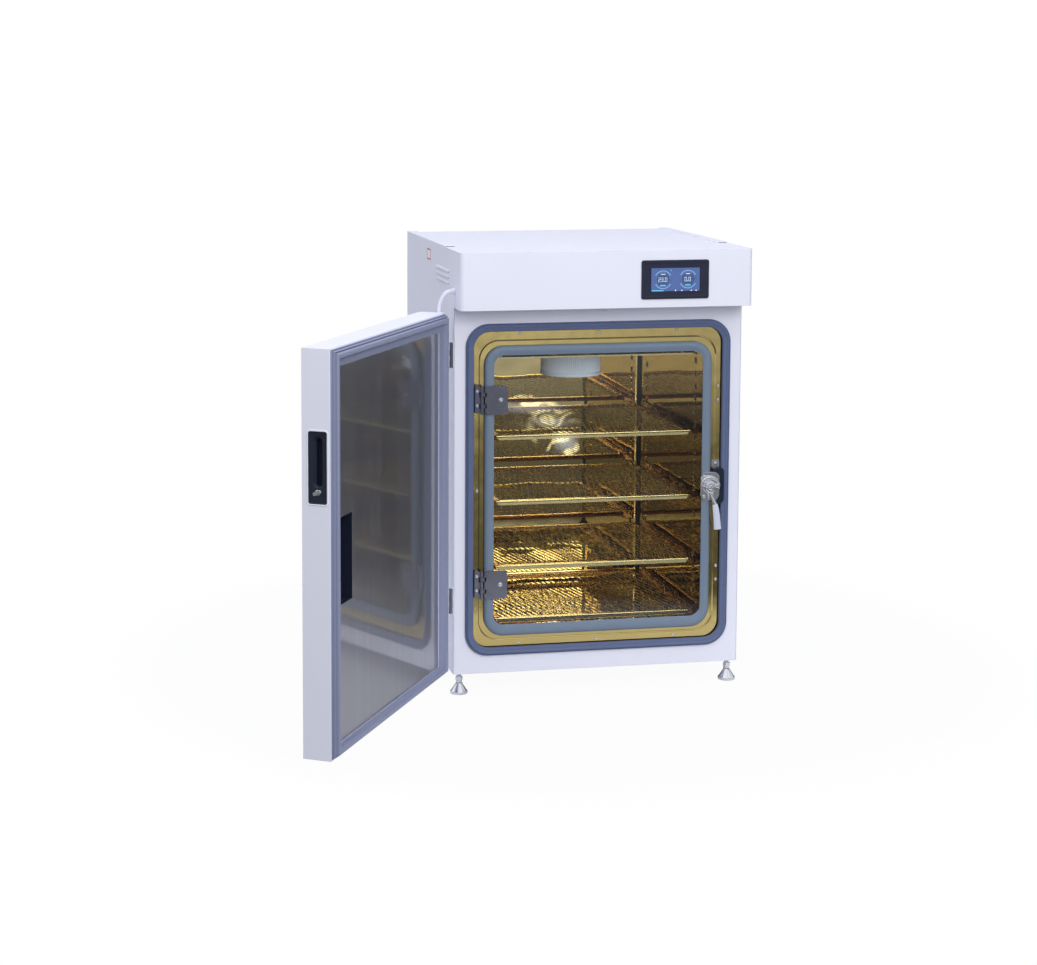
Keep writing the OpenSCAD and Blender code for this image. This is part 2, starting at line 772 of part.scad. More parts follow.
// Rear right foot.
module foot_rr() {
  foot(foot_x, body_d - foot_y);
}

// Mains inlet on the rear panel.
module power_inlet() {
  color(black) cab() difference() {
    union() {
      slab([-260, body_d + 0.05, 844], [-220, body_d + 3, 896]);
      slab([-257.5, body_d - 30, 846.5], [-222.5, body_d + 0.05, 893.5]);
    }
    slab([-252, body_d - 16, 858], [-228, body_d + 4, 884]);
  }
}

// Rocker switch for the mains, on its two short trunnions.
module mains_switch() {
  color([0.7, 0.08, 0.08]) cab() translate([-195, body_d - 2, 870]) rotate([6, 0, 0]) union() {
    slab([-9, -6, -12], [9, 6, 12]);
    translate([-10.2, 0, 0]) rotate([0, 90, 0]) cylinder(h = 20.4, r = 1.5, $fn = 32);
  }
}

// Two gas ports on the rear panel.
module gas_ports() {
  color([0.8, 0.65, 0.3]) cab() union() {
    for (x = [150, 190]) {
      rod_y(x, 870, 7, body_d - 14, body_d + 1);
      translate([x, body_d + 7, 870]) rotate([90, 0, 0]) cylinder(h = 6, r = 9, $fn = 6);
      rod_y(x, 870, 4, body_d + 7, body_d + 19);
    }
  }
}

// Sleeve of the access port through the rear wall.
module access_sleeve() {
  color([0.9, 0.9, 0.92]) cab() difference() {
    union() {
      rod_y(-170, 560, 21, cham_d + 0.3, body_d + 4);
      rod_y(-170, 560, 28, body_d + 0.1, body_d + 4);
    }
    rod_y(-170, 560, 16, cham_d - 2, body_d + 6);
  }
}

// Silicone plug of the access port.
module port_plug() {
  color([0.92, 0.93, 0.95]) cab() union() {
    rod_y(-170, 560, 15.6, cham_d + 4, body_d + 4.3);
    rod_y(-170, 560, 20, body_d + 4.3, body_d + 12);
  }
}

side_left();
side_right();
top_cover();
rear_panel();
base_panel();
front_frame();
display_bezel();
display_screen();
control_board();
door_switch();
switch_housing();
side_label();
chamber_left();
chamber_right();
chamber_ceiling();
chamber_floor();
chamber_back();
chamber_flange();
insulation();
heater_mats();
flange_screws();
door_seal();
shelf_runners();
shelf_1();
shelf_2();
shelf_3();
shelf_4();
duct_plate();
filter_element();
fan_motor();
fan_rotor();
glass_pane();
glass_seal();
glass_hinge_door();
glass_hinge_wall();
latch_base();
latch_handle();
latch_keeper();
keeper_plate();
door_shell();
door_insulation();
door_panel();
door_pocket();
door_gasket();
handle_cup();
door_lock();
door_hinge_door();
door_hinge_body();
door_lead();
lead_gland();
lead_cuff();
foot_fl();
foot_fr();
foot_rl();
foot_rr();
power_inlet();
mains_switch();
gas_ports();
access_sleeve();
port_plug();
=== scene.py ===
"""Laboratory incubator: the looks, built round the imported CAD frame. Metres, +Z up, front towards -Y."""
import json
from math import cos, pi, radians, sin

import bmesh
import bpy
from mathutils import Matrix, Vector


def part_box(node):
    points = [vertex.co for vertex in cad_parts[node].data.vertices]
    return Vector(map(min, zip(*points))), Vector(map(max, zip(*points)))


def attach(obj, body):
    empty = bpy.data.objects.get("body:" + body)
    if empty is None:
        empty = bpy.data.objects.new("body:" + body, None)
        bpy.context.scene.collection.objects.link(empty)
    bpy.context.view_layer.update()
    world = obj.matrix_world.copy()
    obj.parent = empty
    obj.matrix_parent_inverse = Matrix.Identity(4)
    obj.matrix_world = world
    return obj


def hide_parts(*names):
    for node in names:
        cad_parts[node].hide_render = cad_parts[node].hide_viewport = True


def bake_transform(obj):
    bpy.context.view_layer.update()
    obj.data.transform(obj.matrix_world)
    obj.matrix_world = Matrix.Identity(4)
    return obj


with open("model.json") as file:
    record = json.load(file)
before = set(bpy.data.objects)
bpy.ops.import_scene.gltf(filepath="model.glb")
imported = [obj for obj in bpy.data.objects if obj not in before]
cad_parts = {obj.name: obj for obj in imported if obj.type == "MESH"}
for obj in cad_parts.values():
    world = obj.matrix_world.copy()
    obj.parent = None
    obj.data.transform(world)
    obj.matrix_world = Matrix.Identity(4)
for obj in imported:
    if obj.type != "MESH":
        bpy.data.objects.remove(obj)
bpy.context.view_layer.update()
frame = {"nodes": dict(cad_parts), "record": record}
MM = 0.001

# ---- Camera ----

CAMERA_AT = (-1.285, -4.8711, 1.3861)
CAMERA_YAW = 10.518
CAMERA_PITCH = -5.904
CAMERA_LENS = 74.80
CAMERA_SHIFT = (0.1067, -0.1823)


def make_camera():
    data = bpy.data.cameras.new("camera")
    data.sensor_width = 36
    data.lens = CAMERA_LENS
    data.shift_x, data.shift_y = CAMERA_SHIFT
    camera = bpy.data.objects.new("camera", data)
    bpy.context.scene.collection.objects.link(camera)
    camera.location = CAMERA_AT
    camera.rotation_euler = (radians(90 + CAMERA_PITCH), 0, radians(-CAMERA_YAW))
    bpy.context.scene.camera = camera


make_camera()

# ---- Places taken from the frame ----

FRONT_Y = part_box("front_frame")[0][1]
BASE_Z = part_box("side_left")[0][2]
DOOR_JOINT = next(j for j in frame["record"]["behaviour"]["joints"] if j["name"] == "outer_door_swing")
DOOR_PIVOT = Vector(DOOR_JOINT["pos_m"])
DOOR_ANGLE = radians(DOOR_JOINT["range_deg"][0])


def at(x, y, z):
    """A place given in millimetres from the cabinet's front face and underside."""
    return Vector((x * MM, FRONT_Y + y * MM, BASE_Z + z * MM))


def on_door(p):
    """Turns a place on the shut outer door to where it is with the door open."""
    offset = Vector((p[0] - DOOR_PIVOT.x, p[1] - DOOR_PIVOT.y, 0))
    turned = Matrix.Rotation(DOOR_ANGLE, 3, "Z") @ offset
    return Vector((DOOR_PIVOT.x + turned.x, DOOR_PIVOT.y + turned.y, p[2]))


def place_mm(p):
    """Where a point in millimetres goes on the cabinet."""
    return at(*p)


def place_door(p):
    """Where a point on the shut outer door goes with the door open."""
    return on_door(at(*p))


# ---- Materials ----


def nodes_of(name):
    material = bpy.data.materials.new(name)
    material.use_nodes = True
    tree = material.node_tree
    return material, tree, tree.nodes["Principled BSDF"]


def node(tree, kind, inputs=None, **settings):
    """A shader node of that kind, with sockets linked and values set; settings are its own properties."""
    made = tree.nodes.new("ShaderNode" + kind)
    for key, value in settings.items():
        setattr(made, key, value)
    for key, value in (inputs or {}).items():
        if isinstance(value, bpy.types.NodeSocket):
            tree.links.new(value, made.inputs[key])
        else:
            made.inputs[key].default_value = value
    return made


def noise(tree, place, scale, detail=3.0, stretch=(1, 1, 1)):
    spread = node(tree, "Mapping", {"Vector": place, "Scale": stretch})
    return node(tree, "TexNoise", {"Vector": spread.outputs[0], "Scale": scale, "Detail": detail}).outputs[0]


def shade(color, k):
    return tuple(min(c * k, 1.0) for c in color[:3]) + (1.0,)

RUB_SCALE = 40.0


def surface(name, color, rough, metal, tone, tone_scale, spread, bumps, edge, extra=None):
    """A material whose colour, roughness and fine relief vary over the surface.
    bumps holds (scale, strength, height in metres) for each layer of relief; edge is a worn edge's radius.
    extra holds other inputs of the shader, and the stretch of all the patterns."""
    extra = dict(extra or {})
    stretch = extra.pop("stretch", (1, 1, 1))
    material, tree, shader = nodes_of(name)
    place = node(tree, "TexCoord").outputs["Object"]
    tint = noise(tree, place, tone_scale, 4.0, stretch)
    mixed = node(tree, "Mix", {0: tint, 6: shade(color, 1 - tone), 7: shade(color, 1 + tone)},
                 data_type="RGBA")
    tree.links.new(mixed.outputs[2], shader.inputs["Base Color"])
    rubbed = noise(tree, place, RUB_SCALE, 3.0, stretch)
    rough_range = node(tree, "MapRange", {"Value": rubbed, "From Min": 0.3, "From Max": 0.7,
                                          "To Min": max(rough - spread, 0.0), "To Max": rough + spread})
    tree.links.new(rough_range.outputs[0], shader.inputs["Roughness"])
    normal = None
    if edge:
        normal = node(tree, "Bevel", {"Radius": edge}, samples=4).outputs[0]
    for scale, strength, height in bumps:
        relief = noise(tree, place, scale, 2.0, stretch)
        made = node(tree, "Bump", {"Height": relief, "Strength": strength, "Distance": height})
        if normal is not None:
            tree.links.new(normal, made.inputs["Normal"])
        normal = made.outputs[0]
    if normal is not None:
        tree.links.new(normal, shader.inputs["Normal"])
    shader.inputs["Metallic"].default_value = metal
    for key, value in extra.items():
        shader.inputs[key.replace("_", " ")].default_value = value
    return material


POWDER = ((900.0, 0.12, 0.0004), (240.0, 0.06, 0.0006))
CAB_WHITE = (0.79, 0.80, 0.905)
# The looks: material name, slot, colour, roughness, metal, then how much the colour varies and at what scale,
# how much the roughness varies, the relief's layers, the worn edge's radius, and any other inputs.
# Those without a slot are only given to CAD parts that show as they are.
LOOKS = {
    "paint": ("cabinet_paint", "cabinet_paint", CAB_WHITE, 0.42, 0.0, 0.012, 6.0, 0.05, POWDER, 0.0012),
    "door_paint": ("door_paint", "door_paint", (0.80, 0.81, 0.92), 0.42, 0.0,
        0.012, 6.0, 0.05, POWDER, 0.0012),
    "gold": ("gold_mirror", "gold_steel", (0.66, 0.50, 0.20), 0.014, 1.0,
        0.05, 9.0, 0.008, ((7.0, 0.06, 0.012),), 0.0),
    "gold_flange": ("gold_flange", "gold_steel", (0.72, 0.56, 0.22), 0.10, 1.0,
        0.06, 14.0, 0.05, ((9.0, 0.05, 0.01),), 0.0),
    "gold_shelf": ("gold_shelf", "gold_steel", (0.78, 0.63, 0.29), 0.18, 1.0, 0.04, 14.0, 0.03, (), 0.0),
    "gold_mesh": ("gold_mesh", "gold_steel", (0.66, 0.53, 0.28), 0.26, 0.86, 0.05, 40.0, 0.05, (), 0.0),
    # A darker copy of the chamber gold: painted shade on the shelves' rear lips and side edges and on the
    # shelf runners.
    "gold_deep": ("gold_deep", "gold_steel", (0.34, 0.18, 0.06), 0.24, 1.0, 0.05, 14.0, 0.04, (), 0.0),
    "lever": ("lever_grip", "polished_steel", (0.60, 0.63, 0.76), 0.16, 0.0,
        0.03, 60.0, 0.04, (), 0.0, {"Coat_Weight": 0.6}),
    "chrome": ("polished_chrome", "polished_steel", (0.93, 0.94, 0.98), 0.045, 0.91,
        0.03, 60, 0.03, ((160.0, 0.05, 0.0004),), 0.0),
    "satin": ("satin_steel", "satin_steel", (0.30, 0.31, 0.37), 0.33, 1.0,
        0.05, 80, 0.08, ((900.0, 0.08, 0.0003),), 0.0),
    "panel": ("door_panel_steel", "satin_steel", (0.40, 0.40, 0.44), 0.40, 1.0,
        0.03, 60.0, 0.05, ((260.0, 0.010, 0.0002),), 0.0,
        {"stretch": (1, 1, 0.02), "Coat_Weight": 1.0, "Coat_Roughness": 0.07, "Coat_IOR": 1.75}),
    "slate": ("slate_rubber", "slate_rubber", (0.105, 0.135, 0.245), 0.42, 0.0,
        0.08, 30, 0.08, ((500.0, 0.1, 0.0004),), 0.0),
    "blue_grey": ("blue_grey_rubber", "blue_grey_rubber", (0.165, 0.215, 0.29), 0.36, 0.0,
        0.06, 30, 0.08, ((500.0, 0.08, 0.0004),), 0.0),
    "gasket": ("gasket_vinyl", "grey_vinyl", (0.245, 0.27, 0.40), 0.38, 0.0,
        0.05, 20, 0.07, ((420.0, 0.08, 0.0004),), 0.0),
    "black": ("black_plastic", "black_plastic", (0.012, 0.016, 0.032), 0.4, 0.0,
        0.2, 50, 0.1, ((1500.0, 0.2, 0.0003),), 0.0006),
    "gloss_black": ("gloss_black", "gloss_black", (0.012, 0.018, 0.035), 0.12, 0.0,
        0.2, 50, 0.05, ((120.0, 0.03, 0.0004),), 0.0006),
    "bezel": ("bezel_plastic", "black_plastic", (0.017, 0.021, 0.042), 0.36, 0.0,
        0.12, 60, 0.06, ((1600.0, 0.15, 0.0003),), 0.0),
    "white": ("white_plastic", "white_plastic", (0.80, 0.83, 0.90), 0.35, 0.0,
        0.02, 40, 0.05, ((600.0, 0.06, 0.0003),), 0.0005),
    "cable": ("cable_sheath", "cabinet_paint", (0.80, 0.81, 0.92), 0.4, 0.0,
        0.02, 60, 0.05, ((700.0, 0.06, 0.0003),), 0.0),
    "silicone": ("silicone", "silicone", (0.78, 0.80, 0.84), 0.5, 0.0,
        0.03, 6.0, 0.05, ((300.0, 0.05, 0.0004),), 0.0008),
    "foam": ("foam", None, (0.80, 0.74, 0.50), 0.9, 0.0, 0.1, 30, 0.05, ((300.0, 0.5, 0.001),), 0.0),
    "heater": ("heater_mat", None, (0.50, 0.13, 0.04), 0.6, 0.0,
        0.08, 6.0, 0.05, ((500.0, 0.2, 0.0004),), 0.0),
    "board": ("circuit_board", None, (0.02, 0.16, 0.06), 0.4, 0.0, 0.15, 200, 0.05, (), 0.0),
    "aluminium": ("aluminium", "bare_aluminium", (0.70, 0.71, 0.74), 0.3, 1.0,
        0.04, 6.0, 0.05, ((600.0, 0.05, 0.0003),), 0.0),
    "brass": ("brass", "brass_fitting", (0.62, 0.42, 0.14), 0.25, 1.0, 0.06, 100, 0.05, (), 0.0004),
    "red": ("rocker_red", "red_plastic", (0.42, 0.015, 0.015), 0.25, 0.0, 0.05, 6.0, 0.05, (), 0.0006),
    "label": ("label_film", "label", (0.86, 0.86, 0.93), 0.3, 0.0, 0.01, 6.0, 0.05, (), 0.0),
    "label_red": ("label_print", "label", (0.55, 0.03, 0.05), 0.35, 0.0, 0.04, 6.0, 0.05, (), 0.0),
    "filter": ("filter_shell", "white_plastic", (0.66, 0.71, 0.78), 0.4, 0.0,
        0.03, 60, 0.05, ((500.0, 0.06, 0.0003),), 0.0),
    # Near-black painted shade: the dark behind the chamber's wall slots and down its back corners.
    "dark_gap": ("dark_gap", "gold_steel", (0.016, 0.013, 0.010), 0.6, 0.0, 0.2, 6.0, 0.05, (), 0.0),
}
M, SLOT = {}, {}
for key, (name, slot, *values) in LOOKS.items():
    M[key] = surface(name, *values)
    SLOT[key] = slot


def glass_material():
    """Clear pane: smooth glass that lets the lamps through to the chamber."""
    material, tree, shader = nodes_of("pane_glass")
    place = node(tree, "TexCoord").outputs["Object"]
    smear = node(tree, "MapRange", {"Value": noise(tree, place, 9.0), "From Min": 0.35, "From Max": 0.75,
                                    "To Min": 0.0, "To Max": 0.002})
    tree.links.new(smear.outputs[0], shader.inputs["Roughness"])
    shader.inputs["Base Color"].default_value = (0.93, 0.96, 0.98, 1)
    shader.inputs["Transmission Weight"].default_value = 1.0
    shader.inputs["IOR"].default_value = 1.42
    through = node(tree, "BsdfTransparent", {"Color": (0.93, 0.96, 0.98, 1)})
    lamp_ray = node(tree, "LightPath").outputs["Is Shadow Ray"]
    mixed = node(tree, "MixShader", {0: lamp_ray, 1: shader.outputs[0], 2: through.outputs[0]})
    tree.links.new(mixed.outputs[0], tree.nodes["Material Output"].inputs["Surface"])
    return material


def glow(name, color, strength, vary=0.12, scale=30.0):
    """A lit part of the display: dark film with its own light, a little uneven."""
    material, tree, shader = nodes_of(name)
    place = node(tree, "TexCoord").outputs["Object"]
    tint = noise(tree, place, scale, 2.0)
    mixed = node(tree, "Mix", {0: tint, 6: shade(color, 1 - vary), 7: shade(color, 1 + vary)},
                 data_type="RGBA")
    shader.inputs["Base Color"].default_value = (0.02, 0.03, 0.06, 1)
    shader.inputs["Roughness"].default_value = 0.12
    tree.links.new(mixed.outputs[2], shader.inputs["Emission Color"])
    shader.inputs["Emission Strength"].default_value = strength
    return material


M["glass"] = glass_material()
SLOT["glass"] = "pane_glass"
GLOWS = {"screen": ("screen_blue", (0.085, 0.15, 0.40), 0.8),
         "screen_dark": ("screen_dark", (0.05, 0.10, 0.30), 0.7),
         "screen_white": ("screen_white", (0.80, 0.90, 1.0), 1.0),
         "screen_cyan": ("screen_cyan", (0.12, 0.58, 0.85), 1.0),
         "screen_ring": ("screen_ring", (0.30, 0.52, 0.86), 0.9)}
for key, values in GLOWS.items():
    M[key] = glow(*values)
    SLOT[key] = "display"

# ---- Mesh helpers ----


def piece(name, shape, body, look, replaces=(), smooth=40.0, place=place_mm, flat=True):
    """Makes a mesh piece, turns its faces outwards, and hangs it on a body."""
    mesh = bpy.data.meshes.new(name)
    verts, faces = join_parts(shape) if isinstance(shape, list) else shape
    mesh.from_pydata([tuple(place(v)) for v in verts], [], faces)
    made = bmesh.new()
    made.from_mesh(mesh)
    bmesh.ops.remove_doubles(made, verts=made.verts, dist=1e-6)
    bmesh.ops.recalc_face_normals(made, faces=made.faces)
    made.to_mesh(mesh)
    made.free()
    return finish_piece(name, mesh, body, look, replaces, smooth, flat)


def finish_piece(name, mesh, body, look, replaces=(), smooth=40.0, flat=False):
    mesh.materials.clear()
    mesh.materials.append(M[look])
    for polygon in mesh.polygons:
        polygon.use_smooth = True
        polygon.material_index = 0
    mesh.set_sharp_from_angle(angle=radians(smooth))
    made = bpy.data.objects.new(name, mesh)
    bpy.context.scene.collection.objects.link(made)
    if flat:
        even = made.modifiers.new("even_normals", "WEIGHTED_NORMAL")
        even.keep_sharp = True
        even.weight = 100
    if body:
        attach(made, body)
    if replaces:
        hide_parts(*replaces)
    return made


def soften(node_name, body, look, width=0.8, segments=3):
    """A CAD part's copy with its sharp edges rounded, width in millimetres; it replaces the part."""
    mesh = frame["nodes"][node_name].data.copy()
    made = bmesh.new()
    made.from_mesh(mesh)
    bmesh.ops.remove_doubles(made, verts=made.verts, dist=2e-6)
    bmesh.ops.dissolve_limit(made, angle_limit=radians(2), verts=made.verts, edges=made.edges)
    sharp = [e for e in made.edges if len(e.link_faces) == 2 and e.calc_face_angle(0) > radians(35)]
    bmesh.ops.bevel(made, geom=sharp, offset=width * MM, segments=segments, profile=0.5, affect="EDGES",
                    clamp_overlap=True)
    bmesh.ops.recalc_face_normals(made, faces=made.faces)
    made.to_mesh(mesh)
    made.free()
    return finish_piece(node_name + "_look", mesh, body, look, (node_name,), flat=True)


def join_parts(parts):
    """Several (verts, faces) lists as one."""
    verts, faces = [], []
    for some_verts, some_faces in parts:
        start = len(verts)
        verts += some_verts
        faces += [[start + i for i in f] for f in some_faces]
    return verts, faces


def rect_loop(x0, x1, z0, z1, r, y, steps=10):
    """Points of a rounded rectangle in the plane that faces the front, in millimetres."""
    points = []
    for cx, cz, first in ((x1 - r, z1 - r, 0), (x0 + r, z1 - r, 90), (x0 + r, z0 + r, 180),
                          (x1 - r, z0 + r, 270)):
        for k in range(steps + 1):
            a = radians(first + 90 * k / steps)
            points.append((cx + r * cos(a), y, cz + r * sin(a)))
    return points


def skin(loops, closed=False, capped=False):
    """Faces between loops that have the same number of points."""
    n = len(loops[0])
    verts = [p for loop in loops for p in loop]
    faces = []
    for i in range(len(loops) if closed else len(loops) - 1):
        a, b = i * n, (i + 1) % len(loops) * n
        faces += [[a + k, a + (k + 1) % n, b + (k + 1) % n, b + k] for k in range(n)]
    if capped:
        faces.append(list(range(n)))
        faces.append([(len(loops) - 1) * n + k for k in range(n)])
    return verts, faces


def solid(loops):
    """A skin with both its ends closed."""
    return skin(loops, capped=True)


def circle(count):
    """That many angles, evenly round a circle."""
    return [2 * pi * k / count for k in range(count)]


def frame_loops(outer, inner, profile, steps=10):
    """Loops of a frame whose section is profile: (share of the way from outer to inner, depth)."""
    loops = []
    for t, y in profile:
        box = [a + (b - a) * t for a, b in zip(outer, inner)]
        loops.append(rect_loop(*box, y, steps))
    return loops


def lathe(profile, centre, steps=48, axis="Z"):
    """Turns (radius, height) points about an axis through centre."""
    loops = []
    for r, h in profile:
        loop = []
        for a in circle(steps):
            c, s = r * cos(a), r * sin(a)
            d = {"Z": (c, s, h), "Y": (c, h, s), "X": (h, c, s)}[axis]
            loop.append(tuple(centre[i] + d[i] for i in range(3)))
        loops.append(loop)
    return solid(loops)


def slab(a, b, r=0.0):
    """A box between two corners, with the edges of its front and back faces cut back by r."""
    x0, y0, z0 = a
    x1, y1, z1 = b
    depths = ((y0, r), (y0 + r, 0.0), (y1 - r, 0.0), (y1, r)) if r else ((y0, 0.0), (y1, 0.0))
    loops = [[(x0 + i, y, z0 + i), (x1 - i, y, z0 + i), (x1 - i, y, z1 - i), (x0 + i, y, z1 - i)]
             for y, i in depths]
    return solid(loops)


def pan_screw(x, y, z, r=3.2, side=-1):
    """A domed screw head on a wall square to Y, with its dome towards side and a recess in the middle."""
    profile = [(r, 0.0), (r * 0.98, side * 0.35 * r), (r * 0.85, side * 0.5 * r), (r * 0.6, side * 0.6 * r),
               (r * 0.28, side * 0.63 * r), (r * 0.24, side * 0.35 * r)]
    return lathe(profile, (x, y, z), 20, "Y")


def sweep(path, sizes, up, sides=16):
    """A solid swept along path, an ellipse at each point: sizes are (half width, half thickness), and up is
    the way the thickness goes."""
    loops = []
    for i, p in enumerate(path):
        ahead = (Vector(path[min(i + 1, len(path) - 1)]) - Vector(path[max(i - 1, 0)])).normalized()
        across = ahead.cross(Vector(up)).normalized()
        thick = across.cross(ahead)
        w, t = sizes[i]
        loops.append([Vector(p) + across * (w * cos(a)) + thick * (t * sin(a)) for a in circle(sides)])
    return solid(loops)


def smooth_path(points, steps):
    """Points on a smooth curve through the given ones."""
    made = []
    last = len(points) - 1
    for i in range(last):
        a, b = Vector(points[max(i - 1, 0)]), Vector(points[i])
        c, d = Vector(points[i + 1]), Vector(points[min(i + 2, last)])
        for k in range(steps):
            t = k / steps
            made.append(0.5 * (2 * b + (c - a) * t + (2 * a - 5 * b + 4 * c - d) * t * t
                               + (3 * b - a - 3 * c + d) * t * t * t))
    return made + [Vector(points[-1])]


def copy_look(node_name, material):
    """Gives a CAD part that shows as it is its finish."""
    data = frame["nodes"][node_name].data
    for k in range(max(len(data.materials), 1)):
        if k < len(data.materials):
            data.materials[k] = M[material]
        else:
            data.materials.append(M[material])

# ---- Cabinet ----

for panel in ("side_left", "side_right", "rear_panel", "base_panel", "front_frame"):
    soften(panel, "cabinet", "paint", 0.7)
soften("top_cover", "cabinet", "paint", 1.4)
soften("side_label", "cabinet", "label", 0.15, 1)
soften("door_switch", "door_plunger", "white", 0.5)
copy_look("control_board", "board")
copy_look("switch_housing", "black")
copy_look("insulation", "foam")
copy_look("heater_mats", "heater")

LABEL_X = -330.45
label_frame = skin([[(LABEL_X, y0, z0), (LABEL_X, y1, z0), (LABEL_X, y1, z1), (LABEL_X, y0, z1)]
                    for y0, y1, z0, z1 in ((263.8, 303.2, 904.6, 930.4), (267.6, 299.4, 908.2, 926.8))])
piece("label_outline", label_frame, "cabinet", "label_red")

VENT_Z = (871, 884, 897)
# A vent hood's section: distance out from the side panel, and height from the vent.
HOOD_SECTION = ((-0.4, 4.6), (0.3, 4.4), (1.6, 3.0), (2.7, 0.6), (3.0, -0.8), (2.4, -1.0), (1.6, 0.4),
                (-0.4, 2.2))
SIDE_X = -330
hoods = []
for z in VENT_Z:
    loops = []
    for y, out in ((53.5, 0.05), (56, 0.6), (60, 1.0), (187, 1.0), (191, 0.6), (193.5, 0.05)):
        loops.append([(SIDE_X - d * out, y, z + h) for d, h in HOOD_SECTION])
    hoods.append(solid(loops))
piece("vent_hoods", hoods, "cabinet", "paint")
# Grey strips under each hood's lower opening, in the gasket grey: painted shadow.
vent_gaps = [slab((SIDE_X - 0.6, 55, z - 2.6), (SIDE_X, 192, z - 0.4)) for z in VENT_Z]
piece("vent_gaps", vent_gaps, "cabinet", "gasket")

# ---- Front seal and flange ----

SEAL_OUT, SEAL_IN = (-303.5, 303.5, 41, 786, 52), (-285, 285, 59, 768, 36)
SEAL_PROFILE = [(0.0, 0.0), (0.0, -4.6), (0.02, -5.6), (0.07, -6.0), (0.11, -5.4), (0.15, -5.6), (0.22, -8.2),
                (0.32, -9.0), (0.43, -8.6), (0.50, -7.2), (0.54, -6.6), (0.60, -6.7), (0.84, -6.2),
                (0.93, -5.2), (0.99, -3.4), (1.0, 0.0)]
piece("front_seal", skin(frame_loops(SEAL_OUT, SEAL_IN, SEAL_PROFILE, 16), closed=True), "cabinet", "slate",
      ("door_seal",), smooth=50)

FLANGE = [((-298, 298, 46, 782), 48, 5.2), ((-298, 298, 46, 782), 48, 4.0),
          ((-273.5, 273.5, 73, 749.5), 45, 4.0), ((-272.6, 272.6, 74, 748.6), 44.5, 4.3),
          ((-271.6, 271.6, 75, 747.6), 44, 5.0), ((-270.8, 270.8, 76, 746.8), 43, 5.4),
          ((-269.6, 269.6, 77, 745.6), 42, 5.5), ((-262, 262, 84, 738), 37, 5.2),
          ((-254, 254, 90, 734), 30, 4.9), ((-247, 247, 93.5, 730.5), 21, 4.8),
          ((-245.4, 245.4, 94.8, 729.2), 19, 5.2), ((-244, 244, 96, 728), 18, 7.0)]
piece("mouth_flange", skin([rect_loop(*box, r, y, 14) for box, r, y in FLANGE]), "cabinet", "gold_flange",
      ("chamber_flange",), smooth=28)

FLANGE_SCREWS = [(-180, 762), (0, 762), (180, 762), (-180, 65.5), (0, 65.5), (180, 65.5), (-276, 413),
                 (279.5, 633), (279.5, 601.5), (279.5, 222), (279.5, 190.5)]
screws = [pan_screw(x, 4.0, z, 3.6) for x, z in FLANGE_SCREWS] + [pan_screw(275, 2.6, 457, 3.6)]
piece("flange_screw_heads", screws, "cabinet", "chrome", ("flange_screws",))

# ---- Chamber ----

HALF, Z0, Z1, BACK, FILLET = 244.0, 96.0, 728.0, 505.0, 10.0
LINER = 1.2
PORT = (-170.0, 560.0, 21.1)
STEPS = 8


def chamber_shell():
    """The seamless liner: rounded tube, filleted back, side walls left open for the slotted patches."""
    depths = [7.0, 60.0, 130.0, 200.0, 280.0, 360.0, 430.0, BACK - FILLET]
    loops = [rect_loop(-HALF, HALF, Z0, Z1, 18.0, 7.0, STEPS)]
    loops += [rect_loop(-HALF, HALF, Z0, Z1, FILLET, y, STEPS) for y in depths[1:]]
    curve = []
    for k in range(1, 9):
        a = radians(90 * k / 8)
        inset = FILLET * (1 - cos(a))
        curve.append(rect_loop(-HALF + inset, HALF - inset, Z0 + inset, Z1 - inset, max(FILLET - inset, 0.5),
                               BACK - FILLET + FILLET * sin(a), STEPS))
    n = len(loops[0])
    left, right = 2 * (STEPS + 1) - 1, n - 1
    verts, faces = skin(loops)
    faces = [f for i, f in enumerate(faces) if i % n not in (left, right)]
    parts = [(verts, faces), skin([loops[-1]] + curve)]
    for side in (-1, 1):
        parts.append(slotted_wall(side))
    parts.append(back_wall(-HALF + FILLET, HALF - FILLET, Z0 + FILLET, Z1 - FILLET))
    return join_parts(parts)


def grid_wall(point, us, vs, is_hole):
    """A flat wall of cells between the lines us and vs, with the holes left out."""
    verts = [point(u, v) for u in us for v in vs]
    n = len(vs)
    faces = [[i * n + j, (i + 1) * n + j, (i + 1) * n + j + 1, i * n + j + 1] for i in range(len(us) - 1)
             for j in range(n - 1) if not is_hole(0.5 * (us[i] + us[i + 1]), 0.5 * (vs[j] + vs[j + 1]))]
    return verts, faces


SLOT_Y = (62.0, 440.0)
SLOT_PITCH = 29.5
SLOT_Z = [148.0 + SLOT_PITCH * k for k in range(19)]
SLOT_HALF, SLOT_TALL = 6.0, 11.0


def slotted_wall(side):
    x = side * HALF
    ys = sorted([7.0, 130.0, 250.0, 360.0, BACK - FILLET]
                + [y + d for y in SLOT_Y for d in (-SLOT_HALF, SLOT_HALF)])
    zs = sorted([Z0 + FILLET, Z1 - FILLET] + [z + d for z in SLOT_Z for d in (0.0, SLOT_TALL)])

    def is_hole(y, z):
        return any(abs(y - s) < SLOT_HALF for s in SLOT_Y) and any(z0 < z < z0 + SLOT_TALL for z0 in SLOT_Z)

    flat = grid_wall(lambda u, v: (x, u, v), ys, zs, is_hole)
    walls = []
    for y in SLOT_Y:
        for z in SLOT_Z:
            near, far, top = y - SLOT_HALF, y + SLOT_HALF, z + SLOT_TALL
            corners = ((near, z), (far, z), (far, top), (near, top))
            walls.append(skin([[(x + side * d, cy, cz) for cy, cz in corners] for d in (0.0, LINER)]))
    return join_parts([flat] + walls)


